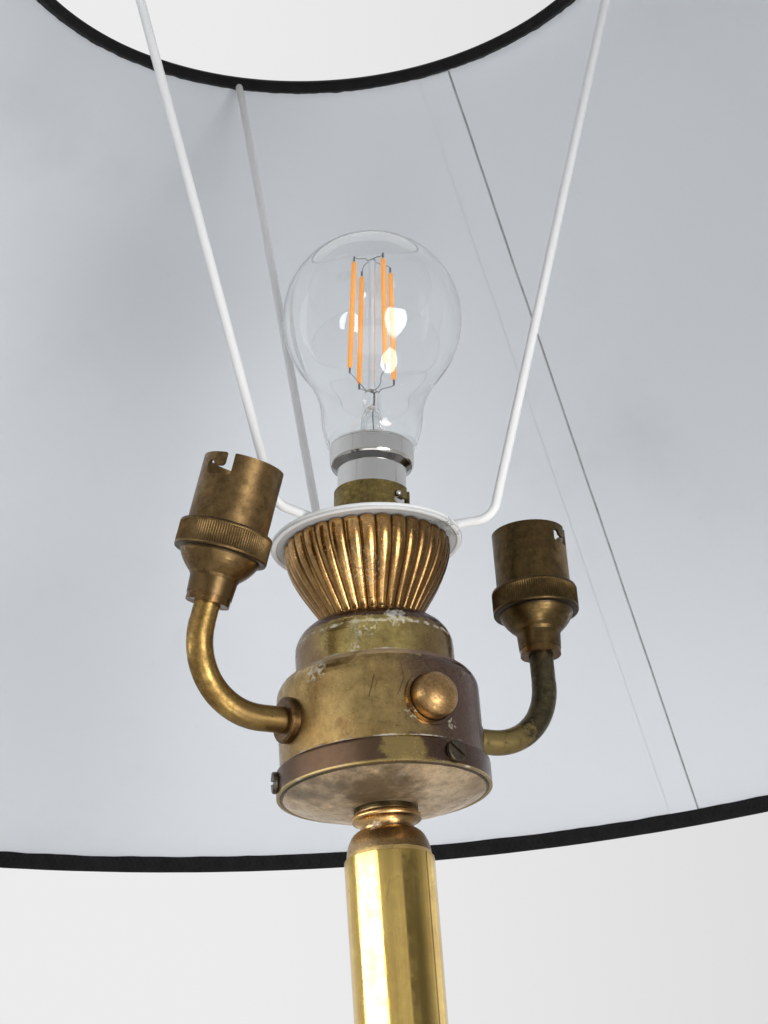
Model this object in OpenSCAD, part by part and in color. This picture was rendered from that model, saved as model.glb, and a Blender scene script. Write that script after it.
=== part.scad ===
// Brass standard lamp: a weighted round base, a tall column, a switch housing with two bent side
// arms, three bayonet lampholders, a fluted cup and a wide conical shade on a wire carrier.
// Millimetres, +Z up. The origin is the centre of the base on the floor.
// The side arms lie along X, with the right arm on +X, and the switch button faces -Y.

/* [Base] */
// Outside diameter of the base
base_d = 300; // [240:1:360]
// Height of the base rim above the felt
rim_h = 20; // [16:0.5:30]
// Diameter of the raised step on the base
step_d = 136; // [110:1:170]
// Height of the raised step
step_h = 8; // [5:0.5:14]
// Rounding of the rim and of the step
base_round = 5; // [3:0.5:6]
// Wall of the spun brass cover
cover_wall = 1.2; // [0.8:0.1:2]
// Thickness of the felt under the base
felt_t = 2; // [1:0.5:4]
// Distance of the felt's edge from the rim
felt_margin = 6; // [3:0.5:12]
// Air between the iron weight and the cover
weight_gap = 0.8; // [0.5:0.1:2]
// Diameter of the weight's middle boss
boss_d = 60; // [50:1:80]
// Width of the cord channel under the weight
channel_w = 15; // [14:0.5:20]
// Depth of the cord channel and of the nut's recess
channel_h = 13; // [12:0.5:14]
// Diameter of the recess for the nut
recess_d = 36; // [30:1:44]
// Bore of the cord bushing
bushing_bore_d = 7; // [5:0.25:8]
// Wall of the cord bushing
bushing_wall = 1.5; // [1:0.25:2]
// Thickness and overhang of the bushing's two flanges
bushing_flange = 1.6; // [1:0.1:2]

/* [Column] */
// Outside diameter of the column tube
column_d = 27; // [24:0.5:32]
// Wall of the column tube
column_wall = 1.5; // [1:0.1:2.5]
// Length of the column tube
column_len = 1270; // [900:10:1500]
// Diameter of the turned foot under the column
foot_d = 70; // [60:1:90]
// Height of the turned foot
foot_h = 30; // [24:1:45]
// Depth of the socket that takes the tube
socket_h = 18; // [12:1:20]
// Outside diameter of the hollow tie rod
rod_d = 10; // [9:0.5:12]
// Wall of the hollow tie rod and of the short stem
rod_wall = 1.3; // [1:0.1:1.6]
// Height of the turned neck between column and housing
neck_h = 20.5; // [18:0.5:28]
// Diameter of the neck's bell where it meets the tube
bell_d = 25.4; // [25:0.1:26]
// Diameter of the neck's waist
waist_d = 17; // [16:0.5:18]
// Diameter of the neck's bead
bead_d = 21; // [20:0.5:22]
// Height of the neck's bead
bead_h = 4.2; // [4:0.2:5.4]
// Length of the neck's spigot in the tube
spigot_len = 12; // [8:1:20]

/* [Switch housing] */
// Outside diameter of the drum
drum_d = 62; // [60:0.5:66]
// Height of the drum with its band
drum_h = 37; // [34:0.5:42]
// Rounding of the drum's shoulder
drum_round = 7; // [4:0.5:8]
// Wall of the drum, the cap and the pan
drum_wall = 1; // [0.8:0.1:1.2]
// How far the band stands out from the drum
band_step = 1.5; // [1.3:0.1:2.5]
// Height of the band
band_h = 8; // [7.6:0.2:10]
// Depth of the domed pan below the band
pan_drop = 4.9; // [3:0.1:7]
// Height of the pan's flange inside the band
pan_flange = 6; // [5:0.2:6.4]
// Diameter of the cap on the drum
cap_d = 49; // [46:0.5:50]
// Height of the cap
cap_h = 17; // [14:0.5:22]
// Rounding of the cap's shoulder
cap_round = 9; // [4:0.5:9.5]
// Head diameter of the pan screws
screw_head_d = 6.2; // [5:0.1:6.4]
// Head height of the pan screws
screw_head_h = 1.7; // [1.2:0.1:2.4]
// Thread diameter of the pan screws
screw_d = 3.4; // [2.5:0.1:4]
// Width of the screws' slots
screw_slot_w = 0.9; // [0.6:0.1:1.2]
// Length of the pan screws behind the head
screw_len = 6; // [4:0.5:9]
// Height of the screws above the band's lower edge
screw_z = 4; // [3.6:0.1:4.4]
// Direction of the first pan screw
screw_angle = 41; // [35:1:50]

/* [Switch] */
// Diameter of the push button
button_d = 13.8; // [12:0.1:14.4]
// How far the button stands out of the drum
button_out = 7.6; // [6:0.2:9]
// Travel of the button
button_travel = 3; // [1.5:0.1:3.5]
// Height of the button's dome
button_dome = 4.4; // [3:0.1:5]
// Wall of the guide sleeve round the button
sleeve_wall = 0.7; // [0.6:0.1:1]
// Diameter of the switch body
switch_d = 21; // [19.5:0.5:23]
// Depth of the switch body behind the drum's wall
switch_depth = 18; // [16.5:0.5:19]

/* [Side arms] */
// Height of the arms above the band's lower edge
arm_z = 20; // [18.5:0.5:21.5]
// Distance of the lampholders from the column's axis
arm_reach = 62; // [60:0.5:75]
// Outside diameter of the arm tube
arm_d = 8; // [7:0.25:9]
// Wall of the arm tube
arm_wall = 1; // [0.7:0.1:1.5]
// Radius of the arm's bend
bend_r = 22; // [18:0.5:24]
// Straight tube between the bend and the lampholder
arm_straight = 9.5; // [7:0.5:16]
// Lean of the left lampholder towards the column
left_lean = 10.5; // [0:0.5:11]
// Turn of the left arm on its thread
left_turn = 17.5; // [17:0.5:19]
// Diameter of the arm's collar on the drum
collar_d = 14; // [12:0.2:15]
// Thickness of the arm's collar
collar_t = 2.2; // [1.6:0.1:4]

/* [Lampholders] */
// Outside diameter of the shell
shell_d = 24.2; // [24:0.1:24.6]
// Bore of the shell at its mouth
mouth_d = 22.6; // [22.5:0.05:22.7]
// How much narrower the shell is round the insert
shell_land = 0.2; // [0.15:0.05:0.3]
// Visible height of the shell
shell_h = 20.4; // [19:0.2:23]
// Diameter of the knurled ring
knurl_d = 28; // [27:0.2:29]
// Height of the knurled ring
knurl_h = 8.2; // [7:0.2:9]
// Widest diameter of the conical skirt
skirt_d = 24.4; // [24.3:0.1:26]
// Height of the conical skirt
skirt_h = 6.2; // [5:0.2:9]
// Diameter of the holder's neck
holder_neck_d = 14.3; // [13.5:0.1:16]
// Height of the holder's neck
holder_neck_h = 6.2; // [5:0.2:10]
// Diameter of the ring below a side holder
foot_ring_d = 13.2; // [12:0.2:14]
// Height of the ring below a side holder
foot_ring_h = 2.2; // [1.6:0.2:3]
// Height of the spigot inside the shell
holder_spigot_h = 3.6; // [3:0.2:4.4]
// Wall of the spigot inside the shell
holder_spigot_wall = 1.2; // [0.8:0.1:1.4]
// Height of the ceramic insert above the spigot
insert_h = 10.4; // [10:0.2:11]
// Diameter of a contact plunger
plunger_d = 4.6; // [4:0.1:5]
// Length of a contact plunger
plunger_len = 11; // [10.4:0.1:11.4]
// How far a free plunger stands out of the insert
plunger_out = 6; // [5.6:0.1:6.2]
// Floor of the insert under the plungers
insert_floor = 1; // [0.8:0.1:1.2]
// Distance of each plunger from the holder's axis
plunger_offset = 5.2; // [4.8:0.1:5.4]
// Width of the bayonet slots
slot_w = 2.6; // [2.4:0.05:2.8]
// Depth of the bayonet slots below the rim
slot_depth = 6.8; // [6.6:0.1:7.2]
// Turn of the bayonet slots
slot_turn = 30; // [20:1:34]
// Direction of the middle holder's slot
centre_slot_angle = 314; // [304:1:324]
// Direction of the right holder's slot
right_slot_angle = 316; // [306:1:326]
// Direction of the left holder's slot
left_slot_angle = 46; // [36:1:56]
// Lean of the middle holder on its stem
centre_lean = 4; // [0:0.2:4.4]
// Direction of the middle holder's lean
centre_lean_angle = 325; // [315:1:335]

/* [Fluted cup] */
// Diameter of the cup at its foot
cup_foot_d = 28.6; // [27:0.2:30]
// Diameter of the cup at its rim
cup_d = 53; // [48:0.5:56]
// Height of the cup
cup_h = 27; // [26:0.5:29]
// Number of flutes round the cup
flutes = 32; // [24:1:40]
// Depth of the grooves between the flutes
flute_depth = 0.9; // [0.4:0.1:1.2]
// Wall of the cup below the grooves
cup_wall = 1.4; // [1:0.1:1.8]
// Thickness of the cup's floor
cup_floor = 3.5; // [2:0.1:4]

/* [Shade] */
// Diameter of the shade's top edge
shade_top_d = 240; // [220:1:270]
// Diameter of the shade's lower edge
shade_bottom_d = 750; // [600:5:800]
// Height of the shade
shade_h = 267; // [230:1:320]
// Height of the shade's top edge above the carrier ring
shade_rise = 263.8; // [240:0.1:300]
// Thickness of the shade's card
card_t = 1; // [0.6:0.1:1.4]
// Diameter of the shade's edge wires
edge_wire_d = 3.2; // [2.5:0.1:4]
// Thickness of the binding tape
tape_t = 0.5; // [0.3:0.1:0.8]
// Width of the binding tape outside the shade
tape_out = 8; // [6:0.5:14]
// Width of the binding tape inside the shade
tape_in = 7.4; // [7:0.2:10]
// Diameter of the carrier ring
carrier_d = 60.6; // [58:0.2:64]
// Thickness of the carrier ring
carrier_t = 1.5; // [1:0.1:2.5]
// Diameter of the carrier's wires
carrier_wire_d = 3; // [2.5:0.1:3.2]
// Distance of the wires' bends from the axis
wire_bend = 40.75; // [40:0.25:41]
// Length of a wire that lies on the ring
wire_seat = 6; // [4:0.5:10]
// Direction of the first wire
wire_angle = 79; // [70:1:90]

/* [Bulb] */
// Diameter of the bulb
bulb_d = 60; // [55:0.5:64]
// Height of the bulb's middle above the holder's rim
bulb_rise = 63.4; // [60:0.2:66]
// Diameter of the bulb's shoulder above the cap
bulb_shoulder_d = 32.8; // [30:0.2:34]
// Wall of the bulb's glass
glass_wall = 0.7; // [0.5:0.1:1]
// Diameter of the bulb cap's barrel
barrel_d = 22; // [21.8:0.05:22.1]
// Wall of the bulb cap
barrel_wall = 0.5; // [0.4:0.05:0.6]
// Diameter of the bulb cap's collar
bulb_collar_d = 27.2; // [26.8:0.1:28]
// Height of the bulb cap's collar
bulb_collar_h = 8.2; // [7:0.2:10]
// Gap from the holder's rim to the bulb's collar
bulb_collar_gap = 8.3; // [7.5:0.1:10]
// Diameter of the bayonet pins
pin_d = 2; // [1.8:0.05:2.1]
// Reach of the bayonet pins from the axis
pin_reach = 13.4; // [13:0.1:13.6]
// Distance from the pins to the contacts
pin_to_contact = 6.8; // [6.6:0.1:7.2]
// Travel when the bulb is pressed down
bulb_travel = 2; // [1.8:0.05:2.2]
// Diameter of a filament
filament_d = 1.8; // [1.2:0.1:2.4]
// Length of a filament
filament_len = 44; // [38:0.5:44]
// Distance of a filament's lower end from the axis
filament_low_r = 8.4; // [7.6:0.1:9]
// Distance of a filament's upper end from the axis
filament_high_r = 7; // [6.6:0.1:7.6]
// Diameter of the glass stem
stem_glass_d = 5; // [4:0.25:6]
// Diameter of the filaments' support wires
lead_d = 0.8; // [0.6:0.1:1]

/* [Fits] */
// Gap between fixed round pieces
fit_gap = 0.15; // [0.1:0.01:0.2]
// Gap round sliding pieces
slide_gap = 0.3; // [0.2:0.05:0.4]
// Gap between flat faces that turn on one another
turn_gap = 0.2; // [0.15:0.05:0.3]
// How much thinner the threaded end of an arm is than its tube
thread_step = 0.1; // [0.05:0.05:0.2]
// Least gap round the leaning middle shell in the carrier ring
carrier_gap = 0.5; // [0.4:0.05:0.8]

/* [Hidden] */
$fn = 64;

// Colours
brass = "#b5892f";
bronze = "#8a6a3c";
gilt = "#b07a35";
steel = "#8d9094";
white = "#eceae4";
porcelain = "#e6e3da";
black = "#17171a";

// How far a cutter runs past a face
over = 1;

// Heights on the stand
cover_top = felt_t + rim_h;
step_top = cover_top + step_h;
tube_z = step_top + foot_h - socket_h;
head_z = tube_z + column_len + neck_h;
rod_r = rod_d / 2;
nut_wall = 3;
nut_flats = rod_d + 2 * nut_wall;
nut_h = 7;
nut_z = felt_t + channel_h - nut_h;
rod_tail = 2;
inlet_z = felt_t + channel_h / 2;
bushing_r = bushing_bore_d / 2 + bushing_wall;

// Heights on the head, measured from the band's lower edge
drum_r = drum_d / 2;
band_r = drum_r + band_step;
cap_r = cap_d / 2;
cap_top = drum_h + cap_h;
cup_seat = cap_top + cup_floor;
cup_top = cap_top + cup_h;
pan_r = band_r - drum_wall - fit_gap;
pan_flat_r = bead_d / 2;
pan_nut_h = 5;
pan_nut_z = drum_wall - pan_drop;
stem_nut_h = 4;
stem_nut_z = drum_h - drum_wall - stem_nut_h;
sleeve_r = button_d / 2 + slide_gap + sleeve_wall;
sleeve_depth = 5;
switch_face = drum_r - drum_wall - fit_gap;
switch_back = switch_face - switch_depth;
switch_floor = 3;
cup_curve = 1.1;

// Heights on a lampholder, measured from the bottom of its foot ring
skirt_z = foot_ring_h + holder_neck_h;
lip_z = skirt_z + skirt_h;
knurl_top = lip_z + knurl_h;
shell_rim = knurl_top + shell_h;
spigot_r = mouth_d / 2 - shell_land - fit_gap;
insert_z = lip_z + holder_spigot_h;
insert_top = insert_z + insert_h;
insert_low = lip_z + fit_gap;
plunger_floor = insert_low + insert_floor;
plunger_rest = insert_top + plunger_out - plunger_len;
hook_rise = bulb_travel + pin_d + turn_gap - slot_w;
pin_z = shell_rim - slot_depth + slot_w + hook_rise - pin_d / 2 - turn_gap / 2;
contact_z = pin_z - pin_to_contact;
plunger_held = contact_z - turn_gap / 2 - plunger_len;
plunger_play = 0.5;
land_top = insert_top + plunger_out + plunger_play;

// Place of the middle lampholder, before it leans about its seat
neck_taper = 0.35;
holder_foot_r = holder_neck_d / 2 - neck_taper;
seat_z = head_z + cup_seat + holder_foot_r * sin(centre_lean) + fit_gap / 2;
centre_z = seat_z - foot_ring_h;
rim_z = centre_z + shell_rim;

// Place of the shade
carrier_z = head_z + cup_top + turn_gap;
carrier_top = carrier_z + carrier_t;
ring_hole_r = shell_d / 2 / cos(centre_lean) + (carrier_top - seat_z) * tan(centre_lean) + carrier_gap;
wire_r = carrier_wire_d / 2;
wire_z = carrier_top + wire_r;
shade_top_z = carrier_top + shade_rise;
slant = atan2((shade_bottom_d - shade_top_d) / 2, shade_h);
slope_len = shade_h / cos(slant);
edge_gap = 0.1;
edge_wire_in = card_t + edge_gap + edge_wire_d / 2;
edge_setback = 0.3;
edge_wire_up = edge_setback + edge_wire_d / 2;
tape_face = card_t + 2 * edge_gap + edge_wire_d + tape_t;

// Place of the bulb
bulb_z = rim_z + bulb_rise;
collar_z = rim_z + bulb_collar_gap;
collar_top = collar_z + bulb_collar_h;
barrel_in = barrel_d / 2 - barrel_wall;
glass_neck_r = bulb_collar_d / 2 - barrel_wall - fit_gap;
glass_lift = 1;
shoulder_h = 7.4;
crown_angle = 87;
join_angle = -40;
pin_angle = centre_slot_angle - slot_turn;
filament_z = bulb_z - filament_len / 2;
filament_angle = 2;
hub_z = filament_z + filament_len + lead_d;

// Points along an arc in a profile
function arc(cx, cz, r, from, to, steps = 8) =
    [for (i = [0 : steps]) let (a = from + (to - from) * i / steps) [cx + r * cos(a), cz + r * sin(a)]];

// Height of the pan's outside at radius r
function pan_dome(r) = r < pan_flat_r ? -pan_drop :
    -pan_drop * (1 - pow((r - pan_flat_r) / (pan_r - pan_flat_r), 2));

// A solid turned round the Z axis
module turned(points) {
    rotate_extrude() polygon(points);
}

// A straight round tube standing at z
module tube(outer_r, inner_r, z, h) {
    translate([0, 0, z]) difference() {
        cylinder(r = outer_r, h = h);
        translate([0, 0, -over]) cylinder(r = inner_r, h = h + 2 * over);
    }
}

// A hexagon nut standing at z
module hex_nut(flats, bore_r, z, h) {
    translate([0, 0, z]) difference() {
        cylinder(d = flats / cos(30), h = h, $fn = 6);
        translate([0, 0, -over]) cylinder(r = bore_r, h = h + 2 * over);
    }
}

// Outline of a spun shell of two steps, drawn inwards by inset
function base_outline(inset) = let (round_r = base_round - inset, rim_r = base_d / 2 - base_round) concat(
    [[base_d / 2 - inset, felt_t]],
    arc(rim_r, cover_top - base_round, round_r, 0, 90),
    [[step_d / 2 - inset, cover_top - inset]],
    arc(step_d / 2 - base_round, step_top - base_round, round_r, 0, 90)
);

// Puts a child on the head
module on_head() {
    translate([0, 0, head_z]) children();
}

// Base and column
module base_felt() {
    color("#23352a") tube(base_d / 2 - felt_margin, recess_d / 2, 0, felt_t);
}

module base_weight() {
    weight_r = base_d / 2 - cover_wall - weight_gap;
    weight_top = cover_top - cover_wall - weight_gap;
    color("#3c3c3e") difference() {
        union() {
            translate([0, 0, felt_t]) cylinder(r = weight_r - base_round, h = weight_top - felt_t);
            translate([0, 0, felt_t]) cylinder(r = weight_r, h = weight_top - felt_t - base_round);
            translate([0, 0, felt_t]) cylinder(d = boss_d, h = step_top - cover_wall - felt_t);
        }
        translate([0, 0, -over]) cylinder(r = rod_r + fit_gap, h = step_top);
        translate([0, 0, -over]) cylinder(d = recess_d, h = felt_t + channel_h + over);
        translate([-channel_w / 2, 0, felt_t - over]) cube([channel_w, base_d, channel_h + over]);
    }
}

module base_cover() {
    bore = rod_r + fit_gap;
    inner = base_outline(cover_wall);
    color(brass) difference() {
        turned(concat(
            base_outline(0),
            [[bore, step_top], [bore, step_top - cover_wall]],
            [for (i = [len(inner) - 1 : -1 : 0]) inner[i]]
        ));
        translate([0, 0, inlet_z]) rotate([-90, 0, 0]) cylinder(r = bushing_r + fit_gap, h = base_d);
    }
}

module base_nut() {
    color(steel) hex_nut(nut_flats, rod_r + fit_gap / 2, nut_z, nut_h);
}

module cord_bushing() {
    wall_in = base_d / 2 - cover_wall - 2 * fit_gap;
    wall_out = base_d / 2 + fit_gap;
    color(black) translate([0, 0, inlet_z]) rotate([-90, 0, 0]) difference() {
        union() {
            translate([0, 0, wall_in - bushing_flange])
                cylinder(r = bushing_r, h = wall_out - wall_in + 2 * bushing_flange);
            translate([0, 0, wall_in - bushing_flange])
                cylinder(r = bushing_r + bushing_flange - fit_gap, h = bushing_flange);
            translate([0, 0, wall_out]) cylinder(r = bushing_r + bushing_flange, h = bushing_flange);
        }
        translate([0, 0, wall_in - bushing_flange - over])
            cylinder(d = bushing_bore_d, h = wall_out - wall_in + 2 * (bushing_flange + over));
    }
}

module column_foot() {
    ring_r = 3;
    bead_r = 2;
    flat = 0.5;
    shoulder = 1;
    socket_wall = 2.5;
    steps = 8;
    top_r = column_d / 2 + socket_wall;
    foot_top = step_top + foot_h;
    bead_z = foot_top - flat - bead_r;
    cove_z = step_top + 2 * ring_r;
    cove_h = bead_z - bead_r - flat - cove_z;
    cove_r = foot_d / 2 - ring_r - shoulder - top_r;
    bore = rod_r + fit_gap;
    seat_r = column_d / 2 + fit_gap / 2;
    color(brass) turned(concat(
        [[bore, step_top], [foot_d / 2 - ring_r, step_top]],
        arc(foot_d / 2 - ring_r, step_top + ring_r, ring_r, -90, 90),
        [for (i = [0 : steps]) let (a = 90 * i / steps)
            [top_r + cove_r * (1 - sin(a)), cove_z + cove_h * (1 - cos(a))]],
        arc(top_r, bead_z, bead_r, -90, 90, 6),
        [[top_r, foot_top], [seat_r, foot_top], [seat_r, tube_z], [bore, tube_z]]
    ));
}

module column_tube() {
    color(brass) tube(column_d / 2, column_d / 2 - column_wall, tube_z, column_len);
}

module tie_rod() {
    rod_z = nut_z - rod_tail;
    rod_top = head_z + pan_nut_z + pan_nut_h + rod_tail;
    color(steel) tube(rod_r, rod_r - rod_wall, rod_z, rod_top - rod_z);
}

module neck() {
    steps = 8;
    waist_h = 1.2;
    bead_end = 80;
    bore = rod_r + fit_gap;
    spigot = column_d / 2 - column_wall - fit_gap / 2;
    bead_r = bead_h / 2;
    bell_h = neck_h - pan_drop - bead_h - waist_h;
    bead_z = -pan_drop - bead_r;
    color(bronze) on_head() turned(concat(
        [[bore, -neck_h - spigot_len], [spigot, -neck_h - spigot_len], [spigot, -neck_h],
            [bell_d / 2, -neck_h]],
        [for (i = [1 : steps]) let (a = 90 * i / steps)
            [waist_d / 2 + (bell_d - waist_d) / 2 * cos(a), -neck_h + bell_h * sin(a)]],
        [[waist_d / 2, -pan_drop - bead_h]],
        arc(bead_d / 2 - bead_r, bead_z, bead_r, -bead_end, bead_end),
        [[bead_d / 2 - bead_r, -pan_drop], [bore, -pan_drop]]
    ));
}

// Switch housing
module pan() {
    inner_r = pan_r - drum_wall;
    rings = 8;
    bore = rod_r + fit_gap;
    dome_r = [for (i = [0 : rings]) pan_flat_r + (pan_r - pan_flat_r) * i / rings];
    inside_r = [for (i = [rings : -1 : 0]) pan_flat_r + (inner_r - pan_flat_r) * i / rings];
    color(bronze) on_head() difference() {
        turned(concat(
            [[bore, -pan_drop]],
            [for (r = dome_r) [r, pan_dome(r)]],
            [[pan_r, pan_flange], [inner_r, pan_flange]],
            [for (r = inside_r) [r, pan_dome(r) + drum_wall]],
            [[bore, drum_wall - pan_drop]]
        ));
        screw_places() cylinder(d = screw_d + fit_gap, h = screw_len, center = true);
    }
}

module pan_nut() {
    color(steel) on_head() hex_nut(nut_flats, rod_r + fit_gap / 2, pan_nut_z, pan_nut_h);
}

// Puts a child at each pan screw with +Z pointing out of the band
module screw_places() {
    for (i = [0 : 2])
        rotate([0, 0, screw_angle + 120 * i]) translate([band_r, 0, screw_z]) rotate([0, 90, 0]) children();
}

module pan_screws() {
    head_r = screw_head_d / 2;
    edge = screw_head_h / 2;
    steps = 5;
    color(bronze) on_head() screw_places() difference() {
        union() {
            translate([0, 0, fit_gap / 2]) turned(concat(
                [[0, 0], [head_r, 0], [head_r, edge]],
                [for (i = [1 : steps]) let (a = 90 * i / steps)
                    [head_r * cos(a), edge + (screw_head_h - edge) * sin(a)]]
            ));
            translate([0, 0, fit_gap - screw_len]) cylinder(d = screw_d, h = screw_len);
        }
        translate([-screw_head_d, -screw_slot_w / 2, edge])
            cube([2 * screw_head_d, screw_slot_w, screw_head_h]);
    }
}

module drum() {
    lip = 1.2;
    bore = rod_r + fit_gap;
    color(bronze) on_head() difference() {
        turned(concat(
            [[band_r, 0]],
            arc(band_r - lip, band_h - lip, lip, 0, 90, 5),
            [[drum_r, band_h]],
            arc(drum_r - drum_round, drum_h - drum_round, drum_round, 0, 90),
            [[bore, drum_h], [bore, drum_h - drum_wall]],
            arc(drum_r - drum_round, drum_h - drum_round, drum_round - drum_wall, 90, 0),
            [[drum_r - drum_wall, band_h - drum_wall], [band_r - drum_wall, band_h - drum_wall],
                [band_r - drum_wall, 0]]
        ));
        screw_places() cylinder(d = screw_d + fit_gap, h = screw_len, center = true);
        at_button() cylinder(r = sleeve_r + fit_gap, h = drum_d);
        for (side = [0, 180])
            rotate([0, 0, side]) translate([0, 0, arm_z]) rotate([0, 90, 0])
                cylinder(d = arm_d + 2 * fit_gap, h = drum_d);
    }
}

module drum_cap() {
    bore = rod_r + fit_gap;
    color(bronze) on_head() turned(concat(
        [[cap_r, drum_h]],
        arc(cap_r - cap_round, cap_top - cap_round, cap_round, 0, 90),
        [[bore, cap_top], [bore, cap_top - drum_wall]],
        arc(cap_r - cap_round, cap_top - cap_round, cap_round - drum_wall, 90, 0),
        [[cap_r - drum_wall, drum_h]]
    ));
}

// Outside radius of the cup, from 0 at its foot to 1 at its rim
function cup_r(t) = cup_foot_d / 2 + (cup_d - cup_foot_d) / 2 * sin(90 * pow(t, cup_curve));

// Groove depth across one flute, where u runs from -1 to 1
function groove(u) = flute_depth * (1 - sqrt(1 - u * u));

module fluted_cup() {
    points_per_flute = 4;
    levels = 6;
    inner_levels = 3;
    around = flutes * points_per_flute;
    inside = flute_depth + cup_wall;
    inner = [for (i = [inner_levels : -1 : 1])
        [cup_r(i / inner_levels) - inside, cup_h * i / inner_levels]];
    plain = concat(inner, [[cup_foot_d / 2 - inside, cup_floor],
        [rod_r + fit_gap, cup_floor], [rod_r + fit_gap, 0]]);
    rings = levels + 1 + len(plain);
    points = concat(
        [for (k = [0 : levels], i = [0 : around - 1])
            let (u = 2 * (i % points_per_flute) / points_per_flute - 1, a = 360 * i / around,
                r = cup_r(k / levels) - groove(u))
            [r * cos(a), r * sin(a), cup_h * k / levels]],
        [for (p = plain, i = [0 : around - 1])
            let (a = 360 * i / around) [p[0] * cos(a), p[0] * sin(a), p[1]]]
    );
    faces = [for (k = [0 : rings - 1], i = [0 : around - 1], half = [0, 1])
        let (j = (i + 1) % around, low = k * around, high = ((k + 1) % rings) * around)
        half == 0 ? [low + i, high + i, high + j] : [low + i, high + j, low + j]];
    color(gilt) on_head() translate([0, 0, cap_top]) polyhedron(points, faces);
}

module top_stem() {
    stem_low = stem_nut_z - rod_tail;
    stem_top = cup_seat + holder_neck_h;
    color(steel) on_head() tube(rod_r, rod_r - rod_wall, stem_low, stem_top - stem_low);
}

module stem_nut() {
    color(steel) on_head() hex_nut(nut_flats, rod_r + fit_gap / 2, stem_nut_z, stem_nut_h);
}

// Switch: puts a child on the button's axis, with +Z pointing out of the drum
module at_button() {
    translate([0, 0, arm_z]) rotate([90, 0, 0]) children();
}

module switch_body() {
    color(black) on_head() difference() {
        intersection() {
            at_button() translate([0, 0, switch_back]) cylinder(d = switch_d, h = drum_d);
            cylinder(r = switch_face, h = 2 * drum_h);
        }
        at_button() translate([0, 0, switch_back + switch_floor])
            cylinder(r = button_d / 2 + slide_gap, h = drum_d);
        at_button() translate([0, 0, switch_face - sleeve_depth])
            cylinder(r = sleeve_r + fit_gap, h = drum_d);
    }
}

module switch_sleeve() {
    flange = 0.4;
    sink = 2;
    color(brass) on_head() difference() {
        union() {
            at_button() translate([0, 0, drum_r - drum_wall - sleeve_depth])
                cylinder(r = sleeve_r, h = drum_wall + sleeve_depth + flange / 2);
            difference() {
                at_button() translate([0, 0, drum_r - sink])
                    cylinder(r = sleeve_r + flange, h = sink + flange);
                cylinder(r = drum_r + fit_gap / 2, h = 2 * drum_h);
            }
        }
        at_button() cylinder(r = button_d / 2 + slide_gap, h = drum_d);
    }
}

module switch_button() {
    steps = 10;
    tip = drum_r + button_out;
    tail = switch_back + switch_floor + button_travel + slide_gap;
    color(bronze) on_head() at_button() turned(concat(
        [[0, tail], [button_d / 2, tail]],
        [for (i = [0 : steps]) let (a = 90 * i / steps)
            [button_d / 2 * cos(a), tip - button_dome + button_dome * sin(a)]]
    ));
}

module terminal_block() {
    size = [22, 10, 12];
    wire_hole_d = 3;
    clear = 4;
    start = nut_flats / 2 + clear;
    color(porcelain) on_head() difference() {
        translate([-size[0] / 2, start, drum_h - drum_wall - size[2]]) cube(size);
        for (x = [-size[0] / 4, size[0] / 4])
            translate([x, start - over, drum_h - drum_wall - size[2] / 2]) rotate([-90, 0, 0])
                cylinder(d = wire_hole_d, h = size[1] + 2 * over);
    }
}

// Side arms: the arm lies along +X before it is turned to its side
module arm_place(side) {
    on_head() rotate([0, 0, side > 0 ? 0 : 180]) translate([0, 0, arm_z])
        rotate([side > 0 ? 0 : -left_turn, 0, 0]) children();
}

function lean_of(side) = side > 0 ? 0 : left_lean;
function arm_rest(side) = arm_straight - bend_r * lean_of(side) * PI / 180;

// Puts a child at the end of the arm's bend, with +Z along the tube
module bend_end(side) {
    turn = 90 + lean_of(side);
    translate([arm_reach - bend_r + bend_r * sin(turn), 0, bend_r * (1 - cos(turn))])
        rotate([0, -lean_of(side), 0]) children();
}

// Puts a child on a lampholder's axis, at the bottom of its foot ring
module holder_place(side) {
    arm_place(side) bend_end(side) translate([0, 0, arm_rest(side)]) children();
}

// One bent bar of the arm, of radius r, with a thinner threaded end, running past both ends by extra
module arm_bar(side, r, extra) {
    thread_in = 8;
    overlap = 2;
    inner_end = drum_r - drum_wall - thread_in;
    translate([inner_end - extra, 0, 0]) rotate([0, 90, 0])
        cylinder(r = r, h = arm_reach - bend_r - inner_end + extra);
    translate([arm_reach - bend_r, 0, bend_r]) rotate([90, 0, 0]) rotate([0, 0, -90])
        rotate_extrude(angle = 90 + lean_of(side)) translate([bend_r, 0]) circle(r = r);
    bend_end(side) translate([0, 0, -overlap])
        cylinder(r = r - thread_step, h = overlap + arm_rest(side) + skirt_z + extra);
}

module arm(side) {
    color(brass) arm_place(side) difference() {
        arm_bar(side, arm_d / 2, 0);
        arm_bar(side, arm_d / 2 - arm_wall, over);
    }
}

module left_arm() {
    arm(-1);
}

module right_arm() {
    arm(1);
}

module arm_collar(side) {
    edge = 0.8;
    low = drum_r - collar_t / 2;
    high = drum_r + collar_t;
    bore = arm_d / 2 + fit_gap / 2;
    color(bronze) difference() {
        arm_place(side) rotate([0, 90, 0]) turned(concat(
            [[bore, low], [collar_d / 2, low]],
            arc(collar_d / 2 - edge, high - edge, edge, 0, 90, 5),
            [[bore, high]]
        ));
        on_head() cylinder(r = drum_r + fit_gap / 2, h = 2 * drum_h);
    }
}

module left_collar() {
    arm_collar(-1);
}

module right_collar() {
    arm_collar(1);
}

module arm_nuts() {
    nut_t = 4;
    nut_d = arm_d + nut_t;
    reach = sqrt(pow(drum_r - drum_wall - fit_gap, 2) - pow(nut_d / 2 / cos(30), 2));
    color(steel) for (side = [-1, 1])
        arm_place(side) rotate([0, 90, 0]) hex_nut(nut_d, arm_d / 2 + fit_gap / 2, reach - nut_t, nut_t);
}

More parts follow.
